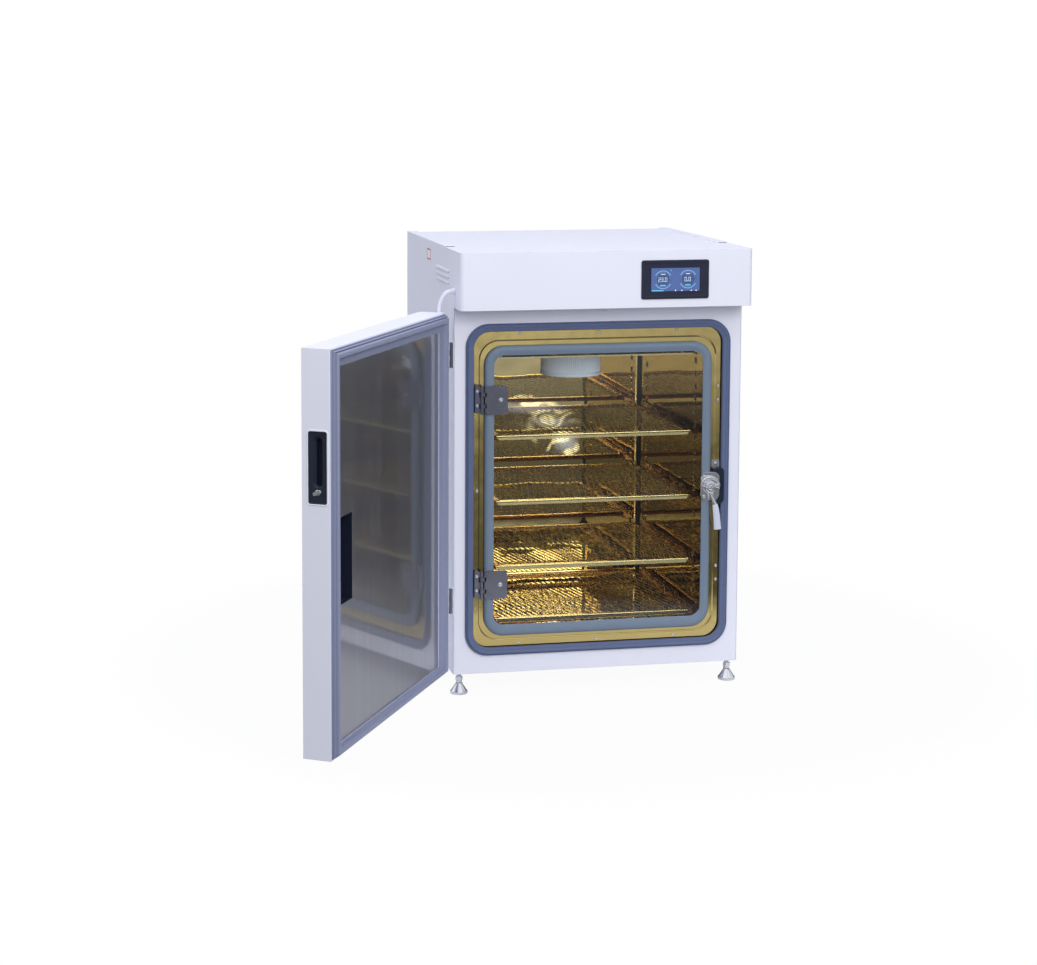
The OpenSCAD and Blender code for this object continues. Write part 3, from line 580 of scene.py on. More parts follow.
def back_wall(x0, x1, z0, z1):
    px, pz, pr = PORT
    box = (px - 26, px + 26, pz - 26, pz + 26)
    flat = grid_wall(lambda u, v: (u, BACK, v), [x0, box[0], box[1], 0.0, x1],
                     [z0, 300.0, box[2], box[3], z1],
                     lambda u, v: box[0] < u < box[1] and box[2] < v < box[3])
    hole = skin([rect_loop(*box, 0.01, BACK, STEPS),
                 rect_loop(px - pr, px + pr, pz - pr, pz + pr, pr, BACK, STEPS),
                 rect_loop(px - pr, px + pr, pz - pr, pz + pr, pr, BACK + LINER, STEPS)])
    return join_parts([flat, hole])


def turned_inwards(name):
    """Makes the chamber's inner faces look into the chamber."""
    mesh = bpy.data.objects[name].data
    made = bmesh.new()
    made.from_mesh(mesh)
    middle = at(0, 250, 400)
    inward = sum(f.calc_area() * (1 if f.normal.dot(middle - f.calc_center_median()) > 0 else -1)
                 for f in made.faces)
    if inward < 0:
        bmesh.ops.reverse_faces(made, faces=made.faces)
    made.to_mesh(mesh)
    made.free()


piece("chamber_liner", chamber_shell(), "cabinet", "gold",
      ("chamber_left", "chamber_right", "chamber_ceiling", "chamber_floor", "chamber_back"), smooth=28)
turned_inwards("chamber_liner")

# The dark sheets just behind the wall slots are painted shade, so the holes read dark; the rims are the
# pressed slot edges.
slot_shade_sheets, rims = [], []
for side in (-1, 1):
    x = side * (HALF + LINER)
    for y in SLOT_Y:
        slot_shade_sheets.append(slab((min(x, x + side * 0.3), y - 8, 140), (max(x, x + side * 0.3), y + 8, 700)))
        for z in SLOT_Z:
            loops = []
            for inset, depth in ((-2.2, 0.0), (-1.7, 0.5), (-0.9, 0.9), (-0.2, 0.8), (0.0, 0.3), (0.0, -0.4)):
                near, far, top = y - SLOT_HALF, y + SLOT_HALF, z + SLOT_TALL
                loop = rect_loop(near + inset, far - inset, z + inset, top - inset, 2.0 - inset * 0.6, 0, 3)
                loops.append([(side * (HALF - depth), p[0], p[2]) for p in loop])
            rims.append(skin(loops))
piece("slot_backs", slot_shade_sheets, "cabinet", "dark_gap")
piece("slot_rims", rims, "cabinet", "gold_shelf", smooth=60)

# Dark strips down the back corners of the seamless liner: painted shade.
corner_shade_strips = [slab((min(s * 238, s * 243.6), BACK - 6.0, 100), (max(s * 238, s * 243.6), BACK - 0.5, 727), 1.0)
         for s in (-1, 1)]
piece("corner_strips", corner_shade_strips, "cabinet", "dark_gap")
soften("duct_plate", "cabinet", "gold_shelf", 0.5)
# The runners take the darker gold copy: painted shade.
soften("shelf_runners", "cabinet", "gold_deep", 0.4)


FILTER_Y = 250


def filter_shell():
    """A pleated drum: smooth cap, fine ribs round the sides and a rounded lower rim."""
    teeth, sides = 90, 360
    rows = [(52.0, 705.9, 0), (69.0, 705.9, 0), (70.6, 704.6, 0), (70.8, 692.0, 0), (70.0, 690.5, 0),
            (69.6, 689.5, 1), (69.6, 643.5, 1), (69.6, 642.6, 0), (71.2, 641.6, 0), (71.5, 640.0, 0),
            (71.4, 637.0, 0), (70.2, 635.2, 0), (68.0, 634.5, 0), (53.5, 634.5, 0), (52.0, 636.0, 0)]
    loops = []
    for r, z, ribbed in rows:
        loop = []
        for a in circle(sides):
            cut = 1.5 * ribbed * (0.5 + 0.5 * cos(a * teeth)) ** 2
            loop.append(((r - cut) * cos(a), FILTER_Y + (r - cut) * sin(a), z))
        loops.append(loop)
    return skin(loops, closed=True)


piece("filter_drum", filter_shell(), "cabinet", "filter", ("filter_element",), smooth=35)
copy_look("fan_motor", "black")
soften("fan_rotor", "fan_wheel", "aluminium", 0.3, 1)

# ---- Shelves ----

SHELF_Z = (529.0, 381.5, 234.0, 114.0)
SHELF_BODIES = ("top_shelf", "second_shelf", "third_shelf", "bottom_shelf")
SHELF_W, SHELF_Y0, SHELF_Y1 = 225.0, 38.0, 445.0
MESH_X, MESH_Y = 6.6, 32.0
STRAND = 1.2


def shelf_lip(z, y, side):
    """A folded front or rear edge: rolled top, lip below with its ends cut at a slant."""
    section = [(0.0, -1.6, 0), (0.15, -0.6, 0), (0.6, -0.1, 0), (1.2, 0.0, 0), (11.0, 0.0, 0),
               (11.0, -1.2, 0), (1.9, -1.2, 0.4), (1.3, -1.8, 0.8), (1.2, -9.3, 6.5), (0.9, -10.0, 7.0),
               (0.3, -9.9, 7.0), (0.0, -9.2, 6.5), (0.5, -5.0, 3.0), (0.5, -3.0, 1.5)]
    loops = [[(s * (SHELF_W - inset), y + side * d, z + h) for d, h, inset in section] for s in (-1, 1)]
    return solid(loops)


def shelf_side(z, s):
    """The folded edge along one side."""
    section = [(0.0, -1.2), (0.4, -0.3), (1.2, 0.0), (10.0, 0.0), (10.0, -1.2), (1.2, -1.2), (1.2, -10.0),
               (0.0, -10.0)]
    loops = [[(s * (SHELF_W - d), y, z + h) for d, h in section] for y in (SHELF_Y0 + 1.5, SHELF_Y1 - 1.5)]
    return solid(loops)


def shelf_mesh(z):
    """Expanded metal: zigzag strands that meet their neighbours at each point."""
    x0, x1, y0, y1 = -SHELF_W + 9.0, SHELF_W - 9.0, SHELF_Y0 + 10.0, SHELF_Y1 - 10.0
    rows = round((y1 - y0) / MESH_Y)
    pitch = (y1 - y0) / rows
    count = round((x1 - x0) / MESH_X)
    parts = []
    for row in range(rows + 1):
        loops = []
        for k in range(count + 1):
            x = x0 + (x1 - x0) * k / count
            up = 1 if (k + row) % 2 else -1
            y = y0 + row * pitch + up * (pitch / 2 - STRAND * 0.6)
            y = min(max(y, y0 - 1), y1 + 1)
            h = z - 1.2 + 0.35 * up
            wide, tall = STRAND * 2.0, STRAND
            loops.append([(x, y - wide, h + 0.2), (x, y, h + tall), (x, y + wide, h - 0.2), (x, y, h - tall)])
        parts.append(solid(loops))
    return join_parts(parts)


for number, (z, body) in enumerate(zip(SHELF_Z, SHELF_BODIES), 1):
    piece(f"shelf_lip_{number}", shelf_lip(z, SHELF_Y0, 1), body, "gold_shelf", (f"shelf_{number}",))
    rim = [shelf_lip(z, SHELF_Y1, -1), shelf_side(z, -1), shelf_side(z, 1)]
    # The rear lip and side edges take the darker gold copy: painted shade.
    piece(f"shelf_rim_{number}", rim, body, "gold_deep")
    piece(f"shelf_mesh_{number}", shelf_mesh(z), body, "gold_mesh", smooth=20, flat=False)

# ---- Glass door ----

pane = solid([rect_loop(-252 + i, 252 - i, 93 + i, 727 - i, 34 - i, y, 16)
              for y, i in ((-4.1, 0.4), (-4.5, 0.8))][::-1]
             + [rect_loop(-252, 252, 93, 727, 34, -3.9, 16), rect_loop(-252, 252, 93, 727, 34, -0.1, 16),
                rect_loop(-251.2, 251.2, 93.8, 726.2, 33.2, 0.5, 16)])
piece("door_glass", pane, "glass_door", "glass", ("glass_pane",), smooth=30)

PANE_SEAL_OUT, PANE_SEAL_IN = (-261, 261, 84, 736.5, 44), (-240, 240, 110, 715.5, 24)
PANE_SEAL = [(0.0, 3.0), (0.0, -1.0), (0.03, -3.0), (0.09, -4.8), (0.18, -6.4), (0.30, -7.5), (0.44, -8.0),
             (0.58, -7.8), (0.72, -7.0), (0.84, -6.0), (0.93, -5.2), (1.0, -4.8), (0.98, -4.4), (0.8, 0.6),
             (0.9, 0.8), (0.97, 1.6), (0.9, 3.2), (0.1, 3.6)]
piece("pane_seal", skin(frame_loops(PANE_SEAL_OUT, PANE_SEAL_IN, PANE_SEAL, 16), closed=True), "glass_door",
      "blue_grey", ("glass_seal",), smooth=40)


def thin_plate(x0, x1, z0, z1, r, back, front, ease=0.5):
    """A plate with rounded corners and an eased front edge."""
    steps = ((0.0, back), (0.0, front + ease), (ease * 0.3, front + ease * 0.3), (ease, front))
    return solid([rect_loop(x0 + i, x1 - i, z0 + i, z1 - i, max(r - i, 0.2), y, 6) for i, y in steps])


def knuckle(x, y, r, z0, z1):
    return lathe([(r - 0.5, z0), (r, z0 + 0.5), (r, z1 - 0.5), (r - 0.5, z1)], (x, y, 0), 32)


GLASS_HINGE_Z = (585.0, 170.5)
HINGE_X, HINGE_Y = -268.5, -10.0
leaves, leaf_screws, brackets, bracket_screws = [], [], [], []
for z0 in GLASS_HINGE_Z:
    leaves.append(thin_plate(-262, -210, z0, z0 + 64, 9, -8.4, -11))
    leaves.append(lathe([(6, -8.4), (6, -4.55)], (-226, 0, z0 + 33), 24, "Y"))
    for low, high in ((14, 24), (40, 50)):
        leaves.append(knuckle(HINGE_X, HINGE_Y, 4.2, z0 + low, z0 + high))
        leaves.append(slab((HINGE_X, -11, z0 + low + 0.3), (-258, -8.6, z0 + high - 0.3)))
    leaf_screws.append(lathe([(5.0, -11.0), (5.0, -11.25), (4.2, -11.5), (3.6, -11.3), (3.4, -12.1),
                              (2.4, -12.9), (1.0, -13.2), (0.8, -12.6)], (-226, 0, z0 + 33), 24, "Y"))
    bracket = solid([rect_loop(-284.5 + i, -274.5 - i, z0 + 3 + i, z0 + 66.5 - i, max(4.5 - i, 0.3), y, 6)
                     for i, y in ((0, 4), (0, -9.6), (0.3, -10.2), (0.9, -10.5))])
    brackets.append(bracket)
    for low, high in ((3, 13.5), (24.5, 39.5), (50.5, 63.5)):
        brackets.append(knuckle(HINGE_X, HINGE_Y, 4.2, z0 + low, z0 + high))
        brackets.append(slab((-275, -11, z0 + low + 0.3), (HINGE_X, -8.6, z0 + high - 0.3)))
    brackets.append(knuckle(HINGE_X, HINGE_Y, 2.4, z0 + 0.2, z0 + 64.5))
    bracket_screws += [pan_screw(-279.5, -10.5, z0 + k, 3.4) for k in (21, 53)]
piece("hinge_leaves", leaves, "glass_door", "satin", ("glass_hinge_door",))
piece("hinge_leaf_screws", leaf_screws, "glass_door", "chrome")
piece("hinge_brackets", brackets, "cabinet", "satin", ("glass_hinge_wall",))
piece("hinge_bracket_screws", bracket_screws, "cabinet", "chrome")

# ---- Latch ----

LATCH = (256.0, -11.0, 406.7)
base = [thin_plate(236, 280, 375, 440, 14, -8.1, LATCH[1], 0.8),
        lathe([(15, -11), (15, -13.6), (14.6, -14.4), (13.8, -14.9), (2, -14.9)], (LATCH[0], 0, LATCH[2]), 40,
              "Y")]
piece("latch_plate", base, "glass_door", "chrome", ("latch_base",))
piece("latch_plate_screws", [pan_screw(244.5, -11, z, 3.6) for z in (385, 430)], "glass_door", "chrome")

lx, ly, lz = LATCH
hub = lathe([(12, ly - 4.2), (12, ly - 11), (11.4, ly - 12), (10, ly - 12.6), (8.4, ly - 12.6),
             (8.0, ly - 12.0), (6.4, ly - 12.0), (6.0, ly - 13.2), (5.0, ly - 14.0), (2.2, ly - 14.2),
             (1.9, ly - 13.4)], (lx, 0, lz), 40, "Y")
cam_path, cam_sizes = [], []
for k in range(33):
    a = radians(-12 + 200 * k / 32)
    swell = sin(pi * min(max(k / 32, 0.04), 0.96)) ** 0.4
    cam_path.append((lx + 21.5 * cos(a), ly - 7, lz + 21.5 * sin(a)))
    cam_sizes.append((3.6 * swell, 2.2 * swell + 0.2))
cam = sweep(cam_path, cam_sizes, (0, -1, 0))
web = sweep([(lx - 4, ly - 7, lz + 3), (lx + 10, ly - 7, lz + 3), (lx + 21, ly - 7, lz + 2)],
            [(5, 1.8), (4.4, 1.8), (3.6, 1.8)], (0, -1, 0))
lever_points = smooth_path([(lx + 1, ly - 8, lz - 7), (lx + 4, ly - 11.5, lz - 20),
                            (lx + 9.5, ly - 12.8, lz - 38), (lx + 13.5, ly - 12.6, lz - 62),
                            (lx + 16, ly - 11.6, lz - 84), (lx + 17, ly - 11.2, lz - 96)], 8)
lever_sizes = []
for i in range(len(lever_points)):
    t = i / (len(lever_points) - 1)
    wide = 5.8 - 1.8 * sin(pi * min(t / 0.5, 1.0)) + 2.4 * max(t - 0.3, 0) / 0.7
    end = min(1.0, (1 - t) / 0.03 + 0.55)
    lever_sizes.append((wide * end, (2.6 + 1.6 * t) * end))
split = len(lever_points) * 2 // 5
lever = sweep(lever_points[:split + 2], lever_sizes[:split + 2], (0, -1, 0), 20)
lever_grip = sweep(lever_points[split:], [(w + 0.9, t + 0.7) for w, t in lever_sizes[split:]], (0, -1, 0), 24)
piece("latch_grip", lever_grip, "latch", "lever", smooth=45)
piece("latch_lever", [hub, cam, web, lever], "latch", "chrome", ("latch_handle",), smooth=45)

KEEPER_FRONT = -10.6
keeper = solid([rect_loop(264.5 + i, 291.5 - i, 366 + i, 450 - i, max(11 - i, 1), y, 8)
                for i, y in ((0, 4), (0, -8.6), (0.5, -9.9), (1.6, KEEPER_FRONT), (3.0, KEEPER_FRONT))]
               + [rect_loop(268.2, 277.6, 384, 434, 4.6, y, 8) for y in (-10.4, -2.2)])
piece("latch_striker", keeper, "cabinet", "gloss_black", ("latch_keeper",))
piece("striker_tab", thin_plate(265, 284, 447, 465, 3, 4, 2.6, 0.4), "cabinet", "chrome", ("keeper_plate",))

# ---- Outer door ----

soften("door_shell", "outer_door", "door_paint", 1.6, 4)
soften("door_panel", "outer_door", "panel", 0.3, 1)
soften("door_pocket", "outer_door", "black", 0.5)
copy_look("door_insulation", "foam")

GASKET_BOTTOM = ((326, 8), (323, 11), (319, 14), (307.5, 23), (306, 24), (290, 30))
GASKET_TOP = ((326, 810), (323, 807), (319, 803), (307.5, 791), (306, 789), (290, 773))


def between(table, x):
    """The height at x along (x, height) points whose x falls."""
    for (xa, za), (xb, zb) in zip(table, table[1:]):
        if xb <= x <= xa:
            return za + (zb - za) * (xa - x) / (xa - xb)
    return table[-1][1] if x < table[-1][0] else table[0][1]


GASKET = [(326, -14.0), (326, -12.8), (325.7, -11.9), (325.0, -11.5), (324.4, -11.8), (324.0, -13.2),
          (323.4, -13.4), (323.0, -8.0), (322.7, -6.4), (322.0, -5.6), (321.2, -5.8), (320.7, -7.2),
          (320.3, -9.6), (319.5, -9.6), (319.0, -4.0), (318.4, -1.8), (317.0, -0.6), (314.5, -0.4),
          (311.0, -0.5), (309.2, -0.9), (307.9, -2.0), (307.0, -4.4), (306.0, -7.6), (304.6, -9.4),
          (302.0, -10.4), (292.6, -12.4), (290.8, -13.2), (290.0, -15.0), (290.0, -15.9), (326, -15.9)]
gasket_loops = []
for gx, gy in GASKET:
    low, high = between(GASKET_BOTTOM, gx), between(GASKET_TOP, gx)
    gasket_loops.append([(-gx, gy, low), (gx, gy, low), (gx, gy, high), (-gx, gy, high)])
piece("door_gasket_frame", skin(gasket_loops, closed=True), "outer_door", "gasket", ("door_gasket",),
      smooth=50, place=place_door)


GRIP_Y = -40.0
LOCK_Z = 533


def grip():
    """The dark cup in the free edge: rim, dished face, scooped groove and the deep slot along its middle."""
    y, z0, z1 = GRIP_Y, 510.2, 652.8

    def ring(half, low, high, r, x):
        return [(x, p[0], p[2]) for p in rect_loop(y - half, y + half, low, high, r, 0, 8)]

    loops = [ring(20, z0, z1, 3, 309), ring(20, z0, z1, 3, 328.6), ring(19.7, z0 + 0.3, z1 - 0.3, 3, 329.4),
             ring(18.8, z0 + 1.2, z1 - 1.2, 2.6, 329.6), ring(18.0, z0 + 2, z1 - 2, 2.4, 329.2),
             ring(17.2, z0 + 2.8, z1 - 2.8, 2, 328.2), ring(10.5, 541, 643, 10.4, 327.6),
             ring(9.2, 543, 641, 9.1, 326.6), ring(6.4, 545, 638, 6.3, 324.0),
             ring(4.3, 546, 636, 4.2, 321.5), ring(4.0, 546.3, 635.7, 3.9, 311.5)]
    return solid(loops)


def grip_rim():
    """The painted edge round the grip's opening, with rounded corners."""
    loops = []
    for grow, x in ((3.4, 328.9), (3.0, 329.5), (2.2, 330.0), (1.0, 330.1), (0.0, 329.7), (-0.6, 328.6)):
        loop = rect_loop(GRIP_Y - 19.6 - grow, GRIP_Y + 19.6 + grow, 510.6 - grow, 652.4 + grow, 4.6 + grow,
                         0, 8)
        loops.append([(x, p[0], p[2]) for p in loop])
    return skin(loops)


piece("grip_rim", grip_rim(), "outer_door", "door_paint", smooth=50, place=place_door)
piece("door_grip", grip(), "outer_door", "black", ("handle_cup",), smooth=30, place=place_door)


def lock_parts():
    """The lock's barrel and the small turning piece on its face."""
    barrel = lathe([(5.9, 310.5), (5.9, 329.0), (5.6, 329.8), (4.9, 330.2), (0.5, 330.2)],
                   (0, GRIP_Y, LOCK_Z), 32, "X")
    turn = []
    for x, half, thick in ((330.0, 9.4, 4.0), (333.0, 9.4, 4.0), (334.2, 8.4, 3.0)):
        loop = rect_loop(-half, half, -thick, thick, thick * 0.9, 0, 5)
        tilt = radians(24)
        turn.append([(x, GRIP_Y + p[0] * cos(tilt) - p[2] * sin(tilt),
                      LOCK_Z + p[0] * sin(tilt) + p[2] * cos(tilt)) for p in loop])
    return join_parts([barrel, solid(turn)])


piece("lock_barrel", lock_parts(), "lock", "chrome", ("door_lock",), place=place_door)

DOOR_HINGE_Z = (691.0, 141.0)
PIN_X, PIN_Y = -337.0, -3.0
door_leaves, door_barrels, wall_leaves, wall_barrels = [], [], [], []
for z0 in DOOR_HINGE_Z:
    door_leaves.append(slab((-331, -42, z0), (-329, -4.5, z0 + 56), 0.4))
    for low, high in ((14.5, 27), (41, 55)):
        door_barrels.append(knuckle(PIN_X, PIN_Y, 5, z0 + low, z0 + high))
        door_leaves.append(slab((PIN_X, -8, z0 + low), (-329, -4.5, z0 + high)))
    wall_leaves.append(slab((-332, 1, z0), (-330, 24, z0 + 56), 0.4))
    for low, high in ((0, 14), (27.5, 40.5)):
        wall_barrels.append(knuckle(PIN_X, PIN_Y, 5, z0 + low, z0 + high))
        wall_leaves.append(slab((PIN_X, -1.5, z0 + low), (-330.5, 2, z0 + high)))
    wall_barrels.append(knuckle(PIN_X, PIN_Y, 2.9, z0 + 0.1, z0 + 56))
piece("door_hinge_leaves", door_leaves, "outer_door", "door_paint", ("door_hinge_door",), place=place_door)
piece("door_hinge_barrels", door_barrels, "outer_door", "satin", place=place_door)
piece("wall_hinge_leaves", wall_leaves, "cabinet", "paint", ("door_hinge_body",))
piece("wall_hinge_barrels", wall_barrels, "cabinet", "satin")

LEAD_R = 4.3
LEAD = [(-334, -10, 860), (-341, -10, 860), (-347, -9.5, 858.5), (-352, -8, 854.5), (-356, -5.5, 848.5),
        (-359, -2, 841), (-361, 2, 832), (-361.8, 6, 822), (-361.2, 9.5, 812), (-359.5, 12.5, 802),
        (-357.5, 16, 793), (-355.7, 18.8, 785), (-354.9, 20, 777.5), (-355.6, 18.8, 771), (-358, 15, 766.8),
        (-360.8, 10.2, 765.2), (-363, 6.4, 765)]
lead_path = smooth_path(LEAD, 4)
lead = piece("heater_lead", sweep(lead_path, [(LEAD_R, LEAD_R)] * len(lead_path), (0.86, -0.51, 0), 16), None,
             "cable", ("door_lead",), smooth=60, flat=False)
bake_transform(lead)
soften("lead_gland", "cabinet", "cable", 0.8)
soften("lead_cuff", "outer_door", "cable", 0.8)

# ---- Display ----

bezel_loops = [rect_loop(74 + i, 228 - i, 840.5 + i, 926.5 - i, max(5 - i, 0.8), y, 8)
               for i, y in ((0, -70.05), (0, -72.0), (0.5, -73.0), (1.6, -73.5), (6.0, -73.5), (7.0, -73.1),
                            (8.0, -72.9), (17.5, -72.9))]
bezel_loops += [rect_loop(96.0 + i, 206.5 - i, 852.0 + i, 915.0 - i, 1.4, y, 8)
                for i, y in ((-2.2, -72.7), (-0.2, -71.6), (0.0, -70.2))]
piece("display_frame", skin(bezel_loops), "cabinet", "bezel", ("display_bezel",), smooth=32)
piece("display_back", slab((84, -70.0, 850), (218, -56, 918)), "cabinet", "black")
copy_look("display_screen", "screen")

SX0, SX1, SZ0, SZ1, SY = 96.2, 206.3, 852.2, 914.8, -72.64
MARK_T = 0.03


def on_screen(u, v):
    """A place on the screen: u from its left edge and v from its top, as shares."""
    return (SX0 + (SX1 - SX0) * u, SY, SZ1 - (SZ1 - SZ0) * v)


def behind(loop):
    """The same loop at the back of a mark."""
    return [(x, y + MARK_T, z) for x, y, z in loop]


def bar(u0, v0, u1, v1, cut=0.0):
    """A flat bar on the screen, with its right end slanted by cut."""
    corners = [on_screen(u0, v0), on_screen(u1, v0), on_screen(u1 - cut, v1), on_screen(u0, v1)]
    return solid([corners, behind(corners)])


def ring(u, v, r0, r1, a0, a1, steps=28):
    """Part of a ring on the screen; radii in millimetres, angles from the right, turning upwards."""
    cx, cy, cz = on_screen(u, v)
    angles = [radians(a0 + (a1 - a0) * k / steps) for k in range(steps + 1)]
    inner, outer = ([(cx + r * cos(a), cy, cz + r * sin(a)) for a in angles] for r in (r0, r1))
    loop = inner + outer[::-1]
    verts = loop + behind(loop)
    n, m = len(loop), steps + 1
    faces = [[k, k + 1, n - 2 - k, n - 1 - k] for k in range(m - 1)]
    faces += [[n + i for i in f] for f in faces]
    faces += [[k, (k + 1) % n, n + (k + 1) % n, n + k] for k in range(n)]
    return verts, faces


DIGIT_W, DIGIT_H, DIGIT_STEP = 0.044, 0.15, 0.056
DOT_W, DOT_STEP = 0.016, 0.026
STROKE = 0.17
SEGMENTS = {"0": "abcdef", "2": "abged", "3": "abgcd"}


def digit(character, u, v, w, h):
    """A digit made of up to seven bars, its middle at (u, v)."""
    t = w * STROKE
    tv = t * (SX1 - SX0) / (SZ1 - SZ0)
    x0, x1, y0, y1 = u - w / 2, u + w / 2, v - h / 2, v + h / 2
    places = {"a": (x0, y0, x1, y0 + tv), "g": (x0, v - tv / 2, x1, v + tv / 2), "d": (x0, y1 - tv, x1, y1),
              "f": (x0, y0, x0 + t, v), "b": (x1 - t, y0, x1, v), "e": (x0, v, x0 + t, y1),
              "c": (x1 - t, v, x1, y1)}
    return [bar(*places[s]) for s in SEGMENTS[character]]


figures, marks, rings, dials = [], [], [], []
for gu, gv, reading in ((0.242, 0.505, "23.0"), (0.758, 0.495, "0.0")):
    dials.append(ring(gu, gv, 0.01, 19.0, 0, 360, 48))
    rings += [ring(gu, gv, 18.6, 20.2, 28, 152), ring(gu, gv, 18.6, 20.2, 208, 332),
              ring(gu, gv, 16.2, 16.7, 0, 360, 48)]
    width = sum(DOT_STEP if c == "." else DIGIT_STEP for c in reading)
    u = gu - width / 2
    for c in reading:
        if c == ".":
            figures.append(bar(u, gv + 0.045, u + DOT_W, gv + 0.07))
            u += DOT_STEP
        else:
            figures += digit(c, u + 0.021, gv, DIGIT_W, DIGIT_H)
            u += DIGIT_STEP
    figures.append(bar(gu - 0.045, gv - 0.205, gu + 0.045, gv - 0.18))
    marks.append(bar(gu - 0.055, gv + 0.18, gu + 0.055, gv + 0.225))
marks += [bar(0.168, 0.04, 0.30, 0.085), bar(0.01, 0.87, 0.26, 0.96, 0.03), bar(0.39, 0.165, 0.42, 0.19)]
figures += [bar(0.79, 0.045, 0.985, 0.085), ring(0.503, 0.905, 0.01, 1.7, 0, 360, 16)]
cx, cy, cz = on_screen(0.503, 0.905)
drop = [(cx - 1.5, cy, cz + 0.8), (cx + 1.5, cy, cz + 0.8), (cx, cy, cz + 3.6)]
figures.append(solid([drop, behind(drop)]))
figures += [ring(u, 0.905, 0.01, 2.0, 0, 360, 16) for u in (0.632, 0.83, 0.93)]
for name, parts, look, depth in (("gauge_faces", dials, "screen_dark", 0.02),
                                 ("gauge_rings", rings, "screen_ring", 0.0),
                                 ("screen_marks", marks, "screen_cyan", -0.01),
                                 ("screen_figures", figures, "screen_white", -0.03)):
    verts, faces = join_parts(parts)
    piece(name, ([(x, y + depth, z) for x, y, z in verts], faces), "cabinet", look, smooth=20)

# ---- Feet and rear fittings ----


def foot(x, y):
    """A levelling foot: threaded stem, lock nut, fluted cone and pad."""
    stem = []
    for k in range(27):
        z = -14.0 + 32.0 * k / 26
        stem.append((4.5 if k % 2 else 3.9, z))
    parts = [lathe([(3.0, -14.2)] + stem + [(3.0, 18.0)], (x, y, 0), 24)]
    parts.append(lathe([(7.0, -17.0), (8.2, -16.4), (8.2, -9.0), (7.2, -8.2), (4.4, -8.0)], (x, y, 0), 6))
    body = [(19.0, -47.0), (19.5, -46.4), (19.5, -42.0), (19.0, -41.0), (17.6, -39.4), (14.4, -34.6),
            (11.0, -29.4), (8.4, -25.4), (7.0, -22.0), (6.6, -19.4), (6.6, -17.0), (4.4, -15.6), (4.4, -13.0)]
    loops = []
    for r, z in body:
        flute = 0.05 if -41 < z < -24 else 0.0
        rounds = [(a, r * (1 - flute * (0.5 + 0.5 * cos(12 * a)))) for a in circle(72)]
        loops.append([(x + wide * cos(a), y + wide * sin(a), z) for a, wide in rounds])
    parts.append(solid(loops))
    return join_parts(parts)


for tag, body, x, y in (("fl", "foot_front_left", -313, 18), ("fr", "foot_front_right", 313, 18),
                        ("rl", "foot_rear_left", -313, 542), ("rr", "foot_rear_right", 313, 542)):
    piece(f"levelling_foot_{tag}", foot(x, y), body, "chrome", (f"foot_{tag}",), smooth=35)

soften("power_inlet", "cabinet", "black", 0.5)
soften("mains_switch", "power_rocker", "red", 0.6)
soften("gas_ports", "cabinet", "brass", 0.4)
soften("access_sleeve", "cabinet", "white", 0.6)
soften("port_plug", "silicone_plug", "silicone", 1.2)
rear_screws = [pan_screw(x, 560, z, 3.0, 1) for x in (-318, 318) for z in (20, 220, 420, 620, 820, 930)]
rear_screws += [pan_screw(x, 560, z, 3.0, 1) for x in (-150, 0, 150) for z in (14, 934)]
piece("rear_screws", rear_screws, "cabinet", "chrome")

# ---- Floor, light and world ----

FLOOR_RADIUS, FLOOR_Z = 2.2, -0.0002
FLOOR_FADE = (0.95, 1.15)
FLOOR_TONES = ((0.62, 0.62, 0.64, 1), (0.66, 0.66, 0.67, 1))
# How much of the floor's own shading plain white replaces for the camera.
FLOOR_WHITE = 0.95


def floor_material():
    """A pale studio floor that runs out into the white background."""
    material, tree, shader = nodes_of("floor")
    place = node(tree, "TexCoord").outputs["Object"]
    tint = noise(tree, place, 3.0)
    mixed = node(tree, "Mix", {0: tint, 6: FLOOR_TONES[0], 7: FLOOR_TONES[1]}, data_type="RGBA")
    tree.links.new(mixed.outputs[2], shader.inputs["Base Color"])
    shader.inputs["Roughness"].default_value = 0.9
    plain = node(tree, "Emission", {"Color": (1, 1, 1, 1), "Strength": 1.0})
    seen = node(tree, "LightPath").outputs["Is Camera Ray"]
    lit = node(tree, "Math", {0: seen, 1: FLOOR_WHITE}, operation="MULTIPLY")
    pale = node(tree, "MixShader", {0: lit.outputs[0], 1: shader.outputs[0], 2: plain.outputs[0]})
    clear = node(tree, "BsdfTransparent", {})
    distance = node(tree, "VectorMath", {0: place}, operation="LENGTH").outputs["Value"]
    fade = node(tree, "MapRange", {"Value": distance, "From Min": FLOOR_FADE[0], "From Max": FLOOR_FADE[1]})
    out = node(tree, "MixShader", {0: fade.outputs[0], 1: pale.outputs[0], 2: clear.outputs[0]})
    tree.links.new(out.outputs[0], tree.nodes["Material Output"].inputs["Surface"])
    return material


def make_floor():
    mesh = bpy.data.meshes.new("floor")
    rim = [(FLOOR_RADIUS * cos(a), FLOOR_RADIUS * sin(a), FLOOR_Z) for a in circle(96)]
    mesh.from_pydata(rim, [], [list(range(len(rim)))])
    mesh.materials.append(floor_material())
    floor = bpy.data.objects.new("floor", mesh)
    bpy.context.scene.collection.objects.link(floor)


def area_light(name, place, target, size, power, color=(1, 1, 1)):
    data = bpy.data.lights.new(name, "AREA")
    data.shape = "RECTANGLE"
    data.size, data.size_y = size
    data.energy = power
    data.color = color
    light = bpy.data.objects.new(name, data)
    bpy.context.scene.collection.objects.link(light)
    light.location = place
    light.rotation_euler = (Vector(target) - Vector(place)).to_track_quat("-Z", "Y").to_euler()
    light.visible_camera = False
    light.visible_glossy = False


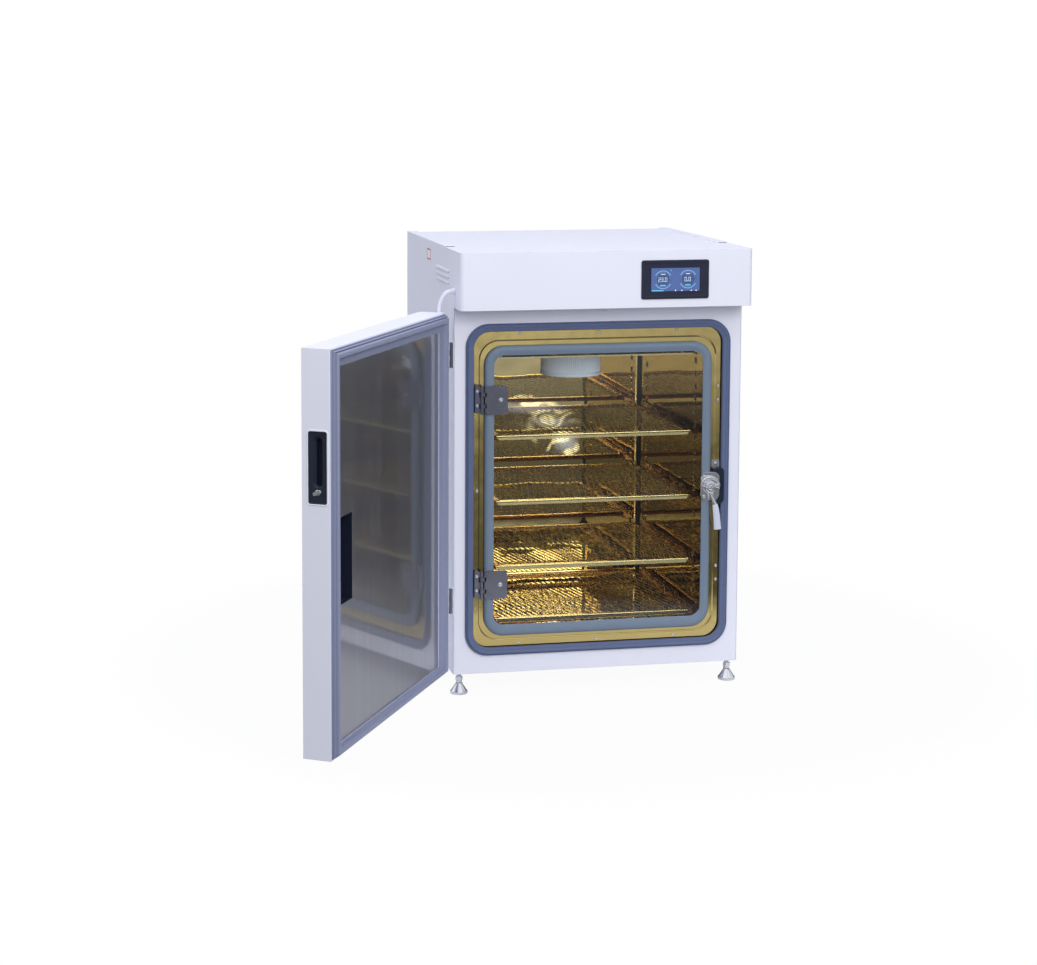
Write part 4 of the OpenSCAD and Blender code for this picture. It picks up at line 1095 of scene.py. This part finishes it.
# The studio by the height z of a direction: (from z, to z, strength at the first, strength at the second).
LOW_TONE = (-0.23, -0.14, 0.13, 0.20)
BAND_RISE, BAND_FALL = (-0.165, -0.135, 0.0, 0.50), (-0.02, 0.04, 1.0, 0.0)
HIGH_TONE = (0.22, 0.5, 0.0, 0.7)
# The same by its sideways part x, as a factor on all of those.
SIDE_TONE = (0.24, 0.30, 1.0, 0.8)
# Bright patches at the lower edge of the band: from x, to x, from z, to z, strength.
STUDIO_LAMPS = ((0.224, 0.246, -0.157, -0.153, 3.0), (0.238, 0.252, -0.163, -0.160, 2.5),
                (0.247, 0.255, -0.174, -0.168, 5.0))


def ramp(tree, value, a, b, low, high):
    return node(tree, "MapRange",
                {"Value": value, "From Min": a, "From Max": b, "To Min": low, "To Max": high}).outputs[0]


def combine(tree, operation, a, b):
    return node(tree, "Math", {0: a, 1: b}, operation=operation).outputs[0]


def band(tree, value, low, high):
    """1 between low and high, falling softly to 0 just outside."""
    soft = (high - low) * 0.3
    return combine(tree, "MULTIPLY", ramp(tree, value, low - soft, low + soft, 0.0, 1.0),
                   ramp(tree, value, high - soft, high + soft, 1.0, 0.0))


def make_world():
    """White to the camera. To everything else a dim studio with a bright band under the horizon, three small
    patches at the band's lower edge, and more light overhead; the tones fall by a fifth beyond x = 0.3."""
    world = bpy.data.worlds.new("studio")
    world.use_nodes = True
    bpy.context.scene.world = world
    tree = world.node_tree
    tree.nodes.clear()
    way = node(tree, "TexCoord").outputs["Generated"]
    parts = node(tree, "SeparateXYZ", {0: way})
    x, z = parts.outputs["X"], parts.outputs["Z"]
    side = ramp(tree, x, *SIDE_TONE)
    wall = combine(tree, "MULTIPLY", ramp(tree, z, *BAND_RISE), ramp(tree, z, *BAND_FALL))
    tone = combine(tree, "ADD", combine(tree, "ADD", wall, ramp(tree, z, *LOW_TONE)),
                   ramp(tree, z, *HIGH_TONE))
    tone = combine(tree, "MULTIPLY", tone, side)
    for x0, x1, z0, z1, strength in STUDIO_LAMPS:
        lamp = combine(tree, "MULTIPLY", band(tree, x, x0, x1), band(tree, z, z0, z1))
        tone = combine(tree, "ADD", tone, combine(tree, "MULTIPLY", lamp, strength))
    sky = node(tree, "Background", {"Color": (0.90, 0.93, 1.0, 1)})
    tree.links.new(tone, sky.inputs["Strength"])
    plain = node(tree, "Background", {"Color": (1, 1, 1, 1), "Strength": 1.0})
    seen = node(tree, "LightPath").outputs["Is Camera Ray"]
    mixed = node(tree, "MixShader", {0: seen, 1: sky.outputs[0], 2: plain.outputs[0]})
    out = tree.nodes.new("ShaderNodeOutputWorld")
    tree.links.new(mixed.outputs[0], out.inputs["Surface"])


make_floor()
make_world()
area_light("key", (0.3, -3.8, 1.9), (0, -0.3, 0.5), (2.4, 1.8), 70)
area_light("fill", (-3.0, 0.9, 1.7), (-0.33, 0.0, 0.6), (1.6, 1.6), 23, (0.90, 0.92, 1.0))
area_light("top", (0, 0.2, 3.2), (0, 0, 0.9), (2.4, 2.4), 20)
area_light("floor_glow", (0.0, -1.4, 1.6), (0, -0.9, 0.0), (1.6, 1.2), 5)
bpy.context.scene.view_settings.view_transform = "Standard"
bpy.context.scene.view_settings.look = "None"
